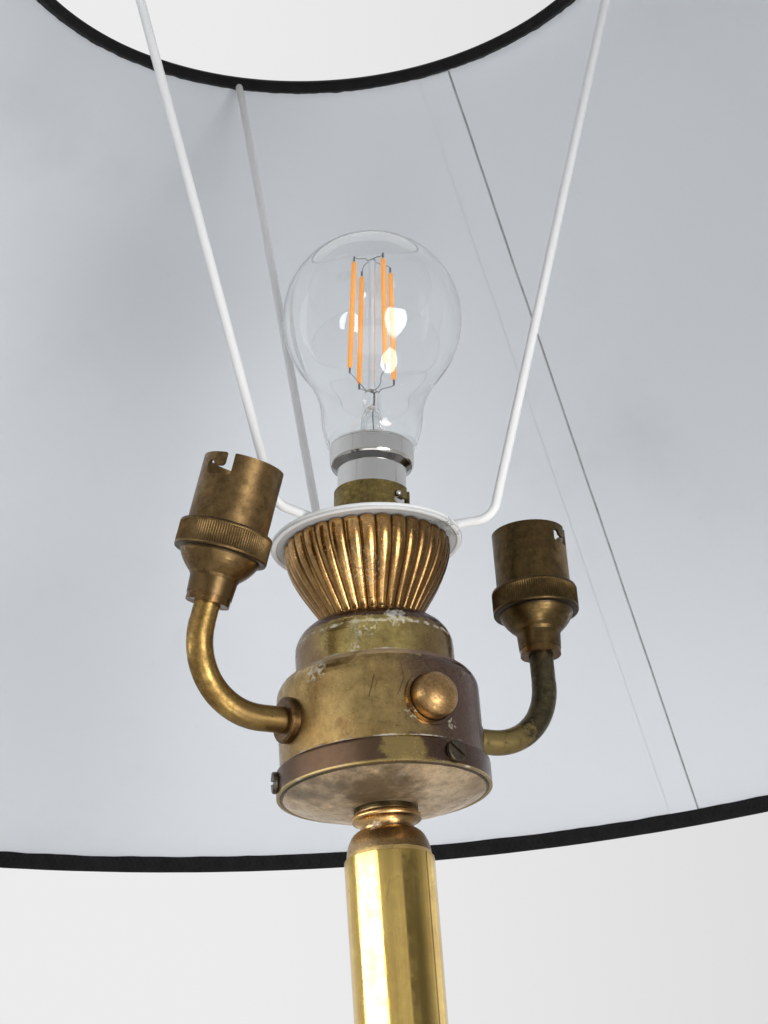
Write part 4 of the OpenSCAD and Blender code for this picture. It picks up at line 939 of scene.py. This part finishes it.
def make_screws():
    """Three flat slotted heads on short shanks through the band."""
    band_r = reach_of("drum")
    up = HEAD_Z + 4.0
    first_turn = 41
    slot_turns = (20, 75, 58)
    radius = 3.3
    head = 1.3
    gap = 0.42
    floor = head - 0.7
    edge = 0.25
    shank = 1.7
    run = 6.0
    base = turned([(AXIS_R, -run), (shank, -run), (shank, 0), (radius, 0), (radius, floor), (AXIS_R, floor)],
                  40, ring=False)
    rows = [[(x, y, floor) for x, y in half_moon(radius, gap)],
            [(x, y, head - edge) for x, y in half_moon(radius, gap)],
            [(x, y, head) for x, y in half_moon(radius - edge, gap + edge / 2)]]
    around = len(rows[0])
    moon = [p for row in rows for p in row]
    skin = loops(3, around, ring=False) + [tuple(range(2 * around, 3 * around))]
    other = [(-x, -y, z) for x, y, z in moon]
    points, faces = joined(base, (moon, skin), (other, skin))
    made = []
    for i, slot_turn in enumerate(slot_turns):
        turn = math.radians(first_turn + 360 / len(slot_turns) * i)
        place = (Matrix.Translation((0, 0, up)) @ Matrix.Rotation(turn, 4, "Z")
                 @ Matrix.Translation((band_r, 0, 0)) @ Matrix.Rotation(math.pi / 2, 4, "Y")
                 @ Matrix.Rotation(math.radians(slot_turn), 4, "Z"))
        made.append(([place @ Vector(p) for p in points], faces))
    screws = add_piece("slotted_screws", *joined(*made), "stand", "steel", [SCREW_METAL], sharp=35)
    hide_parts("pan_screws")


# The fluted cup

CUP_FOOT_R = 14.3
CUP_FLARE = 12.2
CUP_CURVE = 1.1


def cup_radius(share):
    """The radius over the crests at a share of the cup's height."""
    return CUP_FOOT_R + CUP_FLARE * math.sin(math.pi / 2 * share ** CUP_CURVE)


def make_cup():
    """Half-round lobes between narrow grooves, each closed by a rounded end under the carrier ring."""
    flutes = 32
    across = 16
    around = flutes * across
    levels = 40
    depth = 1.6
    # The part of a half circle that a lobe takes
    lobe = 0.94
    # The shares of the height where the flutes reach their depth and where their ends begin
    deep_from = 0.12
    ends_from = 0.95
    end_round = 0.8
    end_drop = 1.2
    uneven = 0.16
    bore = 5.2
    floor = CAP_TOP + 3.5
    points, crests = [], []
    for k in range(levels + 1):
        share = k / levels
        end = min(1.0, max(0.0, (share - ends_from) / (1 - ends_from)))
        fade = 0.5 + 0.5 * min(1.0, share / deep_from)
        for i in range(around):
            u = 2 * (i % across) / across - 1
            fall = 1 - math.sqrt(1 - (lobe * u) ** 2)
            drift = uneven * noise.noise(Vector((3.7 * (i // across), 2.5 * share, 0.5)))
            r = cup_radius(share) - depth * fade * fall - end_round * (1 - math.sqrt(1 - end * end)) + drift
            up = CAP_TOP + CUP_H * share - end_drop * fall * end
            points.append(around_z(r, math.tau * i / around, up))
            crests.append(1 - fall)
    inner = [(cup_radius(1) - 3.0, CAP_TOP + CUP_H - 0.1), (cup_radius(0.66) - 2.6, CAP_TOP + 0.66 * CUP_H),
             (cup_radius(0.33) - 2.5, CAP_TOP + 0.33 * CUP_H), (12.0, floor), (bore, floor), (bore, CAP_TOP)]
    for r, z in inner:
        points += [around_z(r, math.tau * i / around, z) for i in range(around)]
        crests += [0.3] * around
    faces = loops(levels + 1 + len(inner), around)
    cup = add_piece("cup", points, faces, "stand", "gilt_bronze", [GILT], sharp=60)
    cup.data.attributes.new("crest", "FLOAT", "POINT").data.foreach_set("value", crests)
    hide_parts("fluted_cup")


# The lampholders

HOLDER_FINISH = {"left": LEFT_HOLDER, "right": RIGHT_HOLDER, "centre": CENTRE_BRASS}
SLOT_TURNS = {"left": 46, "right": 316, "centre": 314}
SHELL_R = 12.1


def make_knurled_rings():
    """Fine upright ribs between two plain edges."""
    ribs = 116
    across = 6
    around = ribs * across
    inner = 12.25
    outer = 14.0
    deep = 0.3
    edge = 1.0
    half = [(0.0, 0.5, 0), (0.15, 0.15, 0), (0.6, 0.0, 0), (edge, 0.0, 0), (edge + 0.2, 0.0, 1)]
    levels = [(KNURL_LOW + up, drop, ribbed) for up, drop, ribbed in half]
    levels += [(KNURL_TOP - up, drop, ribbed) for up, drop, ribbed in reversed(half)]
    for side in ("left", "right"):
        points = []
        for z, drop, ribbed in levels:
            for i in range(around):
                cut = deep * ribbed * abs(math.cos(math.pi * (i % across) / across)) ** 0.8
                points.append(around_z(outer - drop - cut, math.tau * i / around, z))
        for z in (KNURL_TOP, KNURL_LOW):
            points += [around_z(inner, math.tau * i / around, z) for i in range(around)]
        faces = loops(len(levels) + 2, around)
        ring = add_piece(side + "_ribbed_ring", points, faces, "stand", "aged_brass", [HOLDER_FINISH[side]],
                         sharp=50, place=HOLDERS[side])
        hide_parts(side + "_knurl")


def half_shell():
    """Half of a shell laid flat round one bayonet slot, as (along, up) points and triangles."""
    low = KNURL_LOW + 4.0
    wide = 1.3
    floor = SHELL_RIM - 6.8
    hook = floor + 4.2
    tooth = floor + 2.6
    start, end, run = (SHELL_R * math.radians(a) for a in (-120, 60, 30))
    corners = rounded([
        (start, low, 0), (end, low, 0), (end, SHELL_RIM, 0), (wide, SHELL_RIM, 0.35), (wide, floor, 1.0),
        (-run - wide, floor, 1.0), (-run - wide, hook, 1.25), (-run + wide, hook, 1.25),
        (-run + wide, tooth, 0.8), (-wide, tooth, 1.2), (-wide, SHELL_RIM, 0.35), (start, SHELL_RIM, 0)])
    outline = []
    for here, after in zip(corners, corners[1:] + corners[:1]):
        here, after = Vector(here), Vector(after)
        steps = max(1, math.ceil((after - here).length))
        outline += [here.lerp(after, i / steps) for i in range(steps)]
    step_along = 1.1
    step_up = 1.3
    columns = int((end - start) / step_along)
    rows = int((SHELL_RIM - low) / step_up)
    inside = [Vector((start + 0.6 + step_along * i, low + 0.8 + step_up * k))
              for i in range(columns) for k in range(rows)]
    flat = geometry.delaunay_2d_cdt(outline + inside, [], [list(range(len(outline)))], 1, 1e-4)
    return flat[0], flat[2]


def make_shells():
    """Thin shells with hooked bayonet slots."""
    wall = 0.8
    flat, triangles = half_shell()
    for side, place in HOLDERS.items():
        first = math.radians(SLOT_TURNS[side])
        points, known, skin, edges = [], {}, [], {}
        for half in (0.0, math.pi):
            index = []
            for along, up in flat:
                turn = first + half + along / SHELL_R
                here = around_z(SHELL_R, turn, up)
                key = tuple(round(c, 2) for c in here)
                if key not in known:
                    known[key] = len(known)
                    points += [here, around_z(SHELL_R - wall, turn, up)]
                index.append(known[key])
            skin += [tuple(index[i] for i in face) for face in triangles]
        faces = []
        for face in skin:
            faces.append(tuple(2 * i for i in face))
            faces.append(tuple(2 * i + 1 for i in reversed(face)))
            for a, b in zip(face, face[1:] + face[:1]):
                edges[(a, b)] = True
        faces += [(2 * b, 2 * a, 2 * a + 1, 2 * b + 1) for a, b in edges if (b, a) not in edges]
        shell = add_piece(side + "_slotted_shell", points, faces, "stand", "aged_brass",
                          [HOLDER_FINISH[side]], sharp=40, place=place)
        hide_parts(side + "_shell")


# The shade on its carrier

def shade_point(down, inwards, turn):
    """A point down the slope from the top edge and inwards from the outside of the card."""
    r = SHADE_TOP_R + down * math.sin(SLANT) - inwards * math.cos(SLANT)
    return around_z(r, turn, SHADE_TOP_Z - down * math.cos(SLANT) - inwards * math.sin(SLANT))


def wrapped(section, columns, start=0.0, wave=None):
    """A closed section of (down, inwards) points carried once round the shade, with laid-out coordinates."""
    points, laid = [], []
    for i in range(columns + 1):
        turn = start + math.tau * i / columns
        for k, (down, inwards) in enumerate(section):
            shift = wave(k, turn) if wave else (0.0, 0.0)
            points.append(shade_point(down + shift[0], inwards + shift[1], turn))
            laid.append((i / columns, k / (len(section) - 1)))
    rows = len(section)
    faces = [(i * rows + k, (i + 1) * rows + k, (i + 1) * rows + (k + 1) % rows, i * rows + (k + 1) % rows)
             for i in range(columns) for k in range(rows)]
    return points, faces, laid


def ripple(turn, down):
    """How far the card leans inwards from a true cone."""
    return 0.35 * noise.noise(Vector((2.5 * math.cos(turn), 2.5 * math.sin(turn), down * 0.006)))


def make_shade():
    """The card with its pale lining inside and dark cloth outside."""
    rows = 24
    columns = 192
    downs = [SLOPE * k / rows for k in range(rows + 1)]
    section = [(d, 0.0) for d in downs] + [(d, CARD) for d in reversed(downs)]

    def wave(k, turn):
        down = section[k][0]
        return 0.0, ripple(turn, down) if 0 < down < SLOPE else 0.0

    points, faces, laid = wrapped(section, columns, SEAM_TURN, wave)
    loop = len(section)
    inside = [1 if rows <= i % loop < loop - 1 else 0 for i in range(len(faces))]
    sheet = add_piece("shade_sheet", points, faces, "shade", "lining", [COVER_CLOTH, LINING], sharp=30,
                      laid=laid, face_finish=inside)
    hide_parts("shade_cone")


def make_seam():
    """The lining's lap along one straight seam, and a dark line beside its edge: glue, darkened as a painted
    shadow of the lap.
    """
    steps = 48
    margin = 5.0
    lap_width = 13.0
    lap = ((0.0, 0.02), (0.0, 0.42), (lap_width, 0.36), (lap_width, 0.02))
    line = ((-0.85, 0.02), (-0.75, 0.16), (-0.05, 0.2), (-0.05, 0.02))
    for name, section, made in (("shade_lap", lap, LINING), ("shade_seam_glue_and_shadow", line, GLUE_AND_SHADOW)):
        points = []
        for k in range(steps + 1):
            down = margin + (SLOPE - 2 * margin) * k / steps
            r = SHADE_TOP_R + down * math.sin(SLANT)
            lift = ripple(SEAM_TURN, down) + CARD
            wander = 0.25 * noise.noise(Vector((down * 0.05, 3.0, 0.0)))
            points += [shade_point(down, lift + n, SEAM_TURN + (w + wander) / r) for w, n in section]
        faces = loops(steps + 1, 4, ring=False)
        faces += [(3, 2, 1, 0), tuple(range(len(points) - 4, len(points)))]
        add_piece(name, points, faces, "shade", "lining", [made], sharp=30)


def make_tapes():
    """Folded cloth tape over both edges of the shade, with a slightly uneven inner edge and a lapped end."""
    down_outside = 8.0
    # The cloth's two faces: outside the card, over its edge, and round the edge wire inside
    outside, over, roll = -0.5, -0.45, 4.7
    under_outside, under_over, under_roll = -0.1, -0.1, 4.35
    inner_side = 1.4
    loose_from = 4.4
    lap_angle = 0.045
    lap_thick = 0.35
    for name, start, way, joint, reach in (("top", 0.0, 1, math.radians(55), 4.7),
                                           ("bottom", SLOPE, -1, math.radians(24), 6.7)):
        edge = rounded([(down_outside, outside, 0), (over, outside, 0.4), (over, roll, 1.6), (3.7, roll, 1.2),
                        (reach, 1.55, 0.25), (reach - 0.1, 1.12, 0), (3.55, under_roll, 0.6),
                        (under_over, under_roll, 0.8), (under_over, under_outside, 0.3),
                        (down_outside, under_outside, 0)], 4)
        section = [(start + way * d, n) for d, n in edge]
        if way > 0:
            section.reverse()

        def wave(k, turn, start=start, way=way, joint=joint, section=section):
            down, inwards = section[k]
            far = way * (down - start)
            drift = noise.noise(Vector((40 * math.cos(turn), 40 * math.sin(turn), start)))
            apart = (turn - joint + math.pi) % math.tau - math.pi
            thick = lap_thick if 0 < apart < lap_angle and inwards > inner_side else 0.0
            return (way * 0.4 * drift if far > loose_from else 0.0,
                    thick + (0.12 * drift if inner_side < inwards < roll else 0.0))

        points, faces, laid = wrapped(section, 512, joint, wave)
        tape = add_piece(name + "_tape", points, faces, "shade", "black_tape", [TAPE_CLOTH], sharp=50,
                         laid=laid)
        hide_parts("shade_" + name + "_tape")


def make_carrier():
    """The white ring with its rolled lip, and three bent wires welded on it."""
    lip = CARRIER_R - 1.5
    face = CARRIER_Z + 0.05
    lip_z = CARRIER_Z - 0.35
    profile = rounded([(CARRIER_HOLE, face, 0.3), (lip - 0.5, face, 0.4), (lip, lip_z, 0.4),
                       (CARRIER_R, lip_z, 0.7), (CARRIER_R, CARRIER_TOP + 0.2, 0.7), (lip, CARRIER_TOP, 0.4),
                       (CARRIER_HOLE, CARRIER_TOP, 0.3)])
    points, faces = turned(profile, 128)
    ring = add_piece("carrier_disc", points, faces, "shade", "white_paint", [RING_PAINT], sharp=50)
    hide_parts("carrier_ring")
    seat = 6.0
    tip_run = 16.0
    bend = 7.0
    sway = 0.5
    # The tip runs into the top tape, this far down the slope and inwards from the card
    tip_down = 3.2
    tip_in = 4.6
    for name, turn in WIRE_TURNS.items():
        turn = math.radians(turn)
        tip = Vector(shade_point(tip_down, tip_in, turn))
        low = Vector(around_z(WIRE_BEND, turn, CARRIER_TOP + WIRE_R))
        slope = (tip - low).normalized()
        corners = [around_z(CARRIER_R - seat, turn, CARRIER_TOP + WIRE_R), low,
                   low + slope * ((tip - low).length - tip_run), tip]
        side = Vector((-math.sin(turn), math.cos(turn), 0))
        path = [p + side * sway * noise.noise(p * 0.02) for p in bent(corners, bend)]
        points, faces = swept(path, WIRE_R, 16)
        wire = add_piece("wire_" + name, points, faces, "shade", "white_paint", [WIRE_PAINT], sharp=60)
        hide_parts("carrier_wire_" + name)


# The bulb

GLASS_WALL = 0.45
FILAMENT_HALF = 22.0


def bulb_outline(inset):
    """The glass from its crown down its cheek, waist and shoulder to its neck."""
    ball = 30.0
    join = math.radians(-40)
    waist = 16.4
    neck = 12.95
    shoulder = 7.4
    line = [((ball - inset) * math.cos(a), BULB_Z + (ball - inset) * math.sin(a))
            for a in (math.pi / 2 + (join - math.pi / 2) * i / 40 for i in range(41))]
    line[0] = (AXIS_R, BULB_Z + ball - inset)
    high = BULB_Z + ball * math.sin(join)
    low = COLLAR_TOP + shoulder
    drop = ball * math.cos(join) - waist
    steep = -math.tan(join) * (high - low)
    for i in range(1, 25):
        t = i / 24
        r = waist + drop - steep * t + (2 * steep - 3 * drop) * t ** 2 + (2 * drop - steep) * t ** 3
        line.append((r - inset, high - (high - low) * t))
    for a in (math.radians(15 * i) for i in range(1, 7)):
        line.append((neck - inset + (waist - neck) * math.cos(a), low - (shoulder - inset) * math.sin(a)))
    line.append((neck - inset, COLLAR_Z + 1.0))
    for _ in range(14):
        line[1:-4] = [((a[0] + 2 * b[0] + c[0]) / 4, (a[1] + 2 * b[1] + c[1]) / 4)
                      for a, b, c in zip(line, line[1:-4], line[2:])]
    return line


def filament_ends(i):
    """The low and high ends of one of the four filaments."""
    turn = math.radians(2 + 90 * i)
    low = Vector(around_z(8.4, turn, BULB_Z - FILAMENT_HALF))
    high = Vector(around_z(7.0, turn, BULB_Z + FILAMENT_HALF))
    return low, high


def wavy(start, end, sway, seed):
    """A thin wire's path that sways between two points."""
    steps = 14
    path = []
    for k in range(steps + 1):
        t = k / steps
        here = Vector(start).lerp(Vector(end), t)
        shift = Vector([noise.noise(Vector((2.2 * t, seed, 7.0 * axis + 0.3))) for axis in range(3)])
        path.append(here + shift * sway * math.sin(math.pi * t))
    return path


def make_bulb():
    """The glass, and the cap with its collar and two bayonet pins."""
    outline = bulb_outline(GLASS_WALL) + bulb_outline(0.0)[::-1]
    points, faces = turned(outline, 128, ring=False)
    envelope = add_piece("bulb_envelope", points, faces, "bulb", "clear_glass", [GLASS], sharp=70, place=LEAN)
    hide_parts("bulb_glass")
    low = HOLDER_Z + CONTACT
    cap = 11.0
    cap_bore = 10.5
    collar = 13.6
    collar_bore = 13.1
    shell = rounded([(cap_bore, low, 0), (cap, low, 0.2), (cap, COLLAR_Z - 0.4, 0.5),
                     (collar, COLLAR_Z + 1.6, 2.0), (collar, COLLAR_TOP - 0.9, 0.3),
                     (13.35, COLLAR_TOP - 0.6, 0.3), (13.5, COLLAR_TOP, 0.2), (collar_bore, COLLAR_TOP, 0),
                     (collar_bore, COLLAR_Z + 2.2, 0), (cap_bore, COLLAR_Z + 0.5, 0)])
    pin_r = 1.0
    pin_turns = (284, 104)
    pins = [swept([around_z(r, math.radians(turn), HOLDER_Z + PIN) for r in (10.6, 11.5, 12.4)], pin_r, 20)
            for turn in pin_turns]
    points, faces = joined(turned(shell, 128), *pins)
    base = add_piece("bulb_base", points, faces, "bulb", "nickel", [NICKEL], sharp=40, place=LEAN)
    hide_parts("bulb_cap")


def make_bulb_works():
    """The glass stem, the coated filaments and their wires inside the bulb."""
    flare = COLLAR_Z - 4.0
    pinch = BULB_Z - 27.0
    top = BULB_Z + 22.8
    rod_r = 1.2
    stem = [(AXIS_R, pinch - 5.0), (1.4, pinch - 6.5), (2.2, pinch - 9.0), (3.6, flare + 9.0),
            (6.6, flare + 4.4), (9.4, flare + 1.2), (9.4, flare), (10.2, flare), (10.2, flare + 1.5),
            (7.4, flare + 5.0), (4.4, flare + 9.6), (3.2, pinch - 7.0), (2.9, pinch - 1.5), (2.2, pinch),
            (1.35, pinch + 0.8), (rod_r, pinch + 2.5), (rod_r, top), (0.8, top + 0.5), (AXIS_R, top + 0.7)]
    points, faces = turned(stem, 48, ring=False)
    made = add_piece("bulb_mount", points, faces, "bulb", "clear_glass", [GLASS], sharp=50, place=LEAN)
    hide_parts("bulb_stem")
    coat_r = 0.85
    coat_from = 2.6
    end_r = 0.35
    end_run = 3.0
    lead_r = 0.14
    lead_sway = 1.4
    foot = Vector((0, 0, pinch - 1.0))
    crown = Vector((0, 0, top))
    rods, wires = [], []
    for i in range(4):
        low, high = filament_ends(i)
        way = (high - low).normalized()
        rods.append(swept([low + way * coat_from, low.lerp(high, 0.5), high - way * coat_from], coat_r, 14))
        wires.append(swept([low, low + way * end_run], end_r, 8))
        wires.append(swept([high - way * end_run, high], end_r, 8))
        wires.append(swept(wavy(foot, low, lead_sway, i + 0.4), lead_r, 8))
        wires.append(swept(wavy(crown, high, lead_sway, i + 5.7), lead_r, 8))
    wires.append(swept(wavy((0.5, 0.0, pinch - 1.0), (1.6, 0.4, flare + 1.0), 0.8, 9.1), 0.22, 8))
    made = add_piece("coated_filaments", *joined(*rods), "bulb", "phosphor", [PHOSPHOR], place=LEAN)
    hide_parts("bulb_filaments")
    made = add_piece("filament_wires", *joined(*wires), "bulb", "steel", [LEAD_WIRE], place=LEAN)
    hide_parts("bulb_leads")


make_neck()
make_screws()
make_cup()
make_knurled_rings()
make_shells()
make_shade()
make_seam()
make_tapes()
make_carrier()
make_bulb()
make_bulb_works()


# Camera, floor and studio light

def in_view(right, away, up):
    """A place given as seen by the camera's side of the lamp, in metres."""
    return VIEW_SWING @ Vector((right, away, 0)) + Vector((0, 0, up))


def place_camera():
    """A camera below the shade that looks up at the head, fitted to the picture's frame."""
    away = 0.60877
    drop = -0.18213
    yaw = math.radians(0.593)
    pitch = math.radians(24.286)
    roll = math.radians(-4.403)
    ahead = Vector((math.sin(yaw) * math.cos(pitch), math.cos(yaw) * math.cos(pitch), math.sin(pitch)))
    side = Vector((math.cos(yaw), -math.sin(yaw), 0))
    rise = side.cross(ahead)
    right = side * math.cos(roll) + rise * math.sin(roll)
    top = rise * math.cos(roll) - side * math.sin(roll)
    lens = bpy.data.cameras.new("camera")
    lens.lens = 73.82
    lens.sensor_width = 36.0
    lens.clip_start = 0.01
    lens.clip_end = 100.0
    camera = bpy.data.objects.new("camera", lens)
    bpy.context.scene.collection.objects.link(camera)
    axes = VIEW_SWING @ Matrix((right, top, -ahead)).transposed()
    camera.matrix_world = Matrix.Translation(in_view(0, -away, HEAD_Z * MM + drop)) @ axes.to_4x4()
    bpy.context.scene.camera = camera


def softbox(name, place, target, width, height, power, round_lamp=False):
    """A soft area light that faces a target."""
    lamp = bpy.data.lights.new(name, "AREA")
    lamp.shape = "DISK" if round_lamp else "RECTANGLE"
    lamp.size = width
    lamp.size_y = height
    lamp.energy = power
    made = bpy.data.objects.new(name, lamp)
    bpy.context.scene.collection.objects.link(made)
    made.location = place
    made.rotation_euler = (Vector(target) - place).to_track_quat("-Z", "Y").to_euler()


def light_studio():
    """Softboxes round the lamp: wide ones for form, two round ones for the lights in the bulb."""
    head = (0, 0, 1.42)
    lining = (0, 0, 1.5)
    bulb = (0, 0, 1.49)
    softbox("key", in_view(-1.50, -0.78, 1.60), head, 2.2, 0.42, 18)
    softbox("fill", in_view(0.0, -1.60, 1.58), head, 1.85, 0.6, 1.4)
    softbox("low", in_view(0.10, -1.10, 0.38), lining, 1.5, 0.7, 3.0)
    softbox("side", in_view(1.5, 0.9, 1.45), head, 1.0, 1.6, 1.0)
    softbox("front", in_view(0.68, -1.05, 0.95), bulb, 0.72, 0.72, 10.0, round_lamp=True)
    softbox("spark", in_view(0.18, -0.43, 0.61), bulb, 0.16, 0.16, 0.9, round_lamp=True)


def light_world():
    """Soft light all round, stronger from behind the lamp, in front of a pale cloth."""
    world = bpy.data.worlds.new("studio")
    world.use_nodes = True
    tree = world.node_tree
    tree.nodes.clear()
    way = node(tree, "TexCoord").outputs["Generated"]
    back = in_view(0, 1, 0)
    facing = vectors(tree, "DOT_PRODUCT", way, (back.x, back.y, 0.25))
    level = ease(tree, facing, -0.45, 0.7, 0.12, 0.68)
    seen = node(tree, "LightPath").outputs["Is Camera Ray"]
    right = in_view(1, 0, 0)
    across = vectors(tree, "DOT_PRODUCT", way, (right.x, right.y, 0.0))
    # Painted shade: the backdrop that the camera sees darkens towards the right.
    cloth = ease(tree, across, -0.1, 0.25, 0.84, 0.72)
    level = blend_value(tree, seen, level, cloth)
    shown = node(tree, "Background", {"Color": level, "Strength": 1.0})
    tree.links.new(shown.outputs[0], node(tree, "OutputWorld").inputs[0])
    bpy.context.scene.world = world


def lay_floor():
    """A wide pale floor just under the felt."""
    wide = 40.0
    down = -0.0004
    mesh = bpy.data.meshes.new("floor")
    mesh.from_pydata([(-wide, -wide, down), (wide, -wide, down), (wide, wide, down), (-wide, wide, down)], [],
                     [(0, 1, 2, 3)])
    mesh.materials.append(plain("pale floor", (0.84, 0.835, 0.83), (0.88, 0.875, 0.87), 0.6, 0.8, grain=0.05,
                                depth=0.02))
    floor = bpy.data.objects.new("floor", mesh)
    bpy.context.scene.collection.objects.link(floor)


place_camera()
light_studio()
light_world()
lay_floor()
bpy.context.scene.view_settings.view_transform = "Standard"
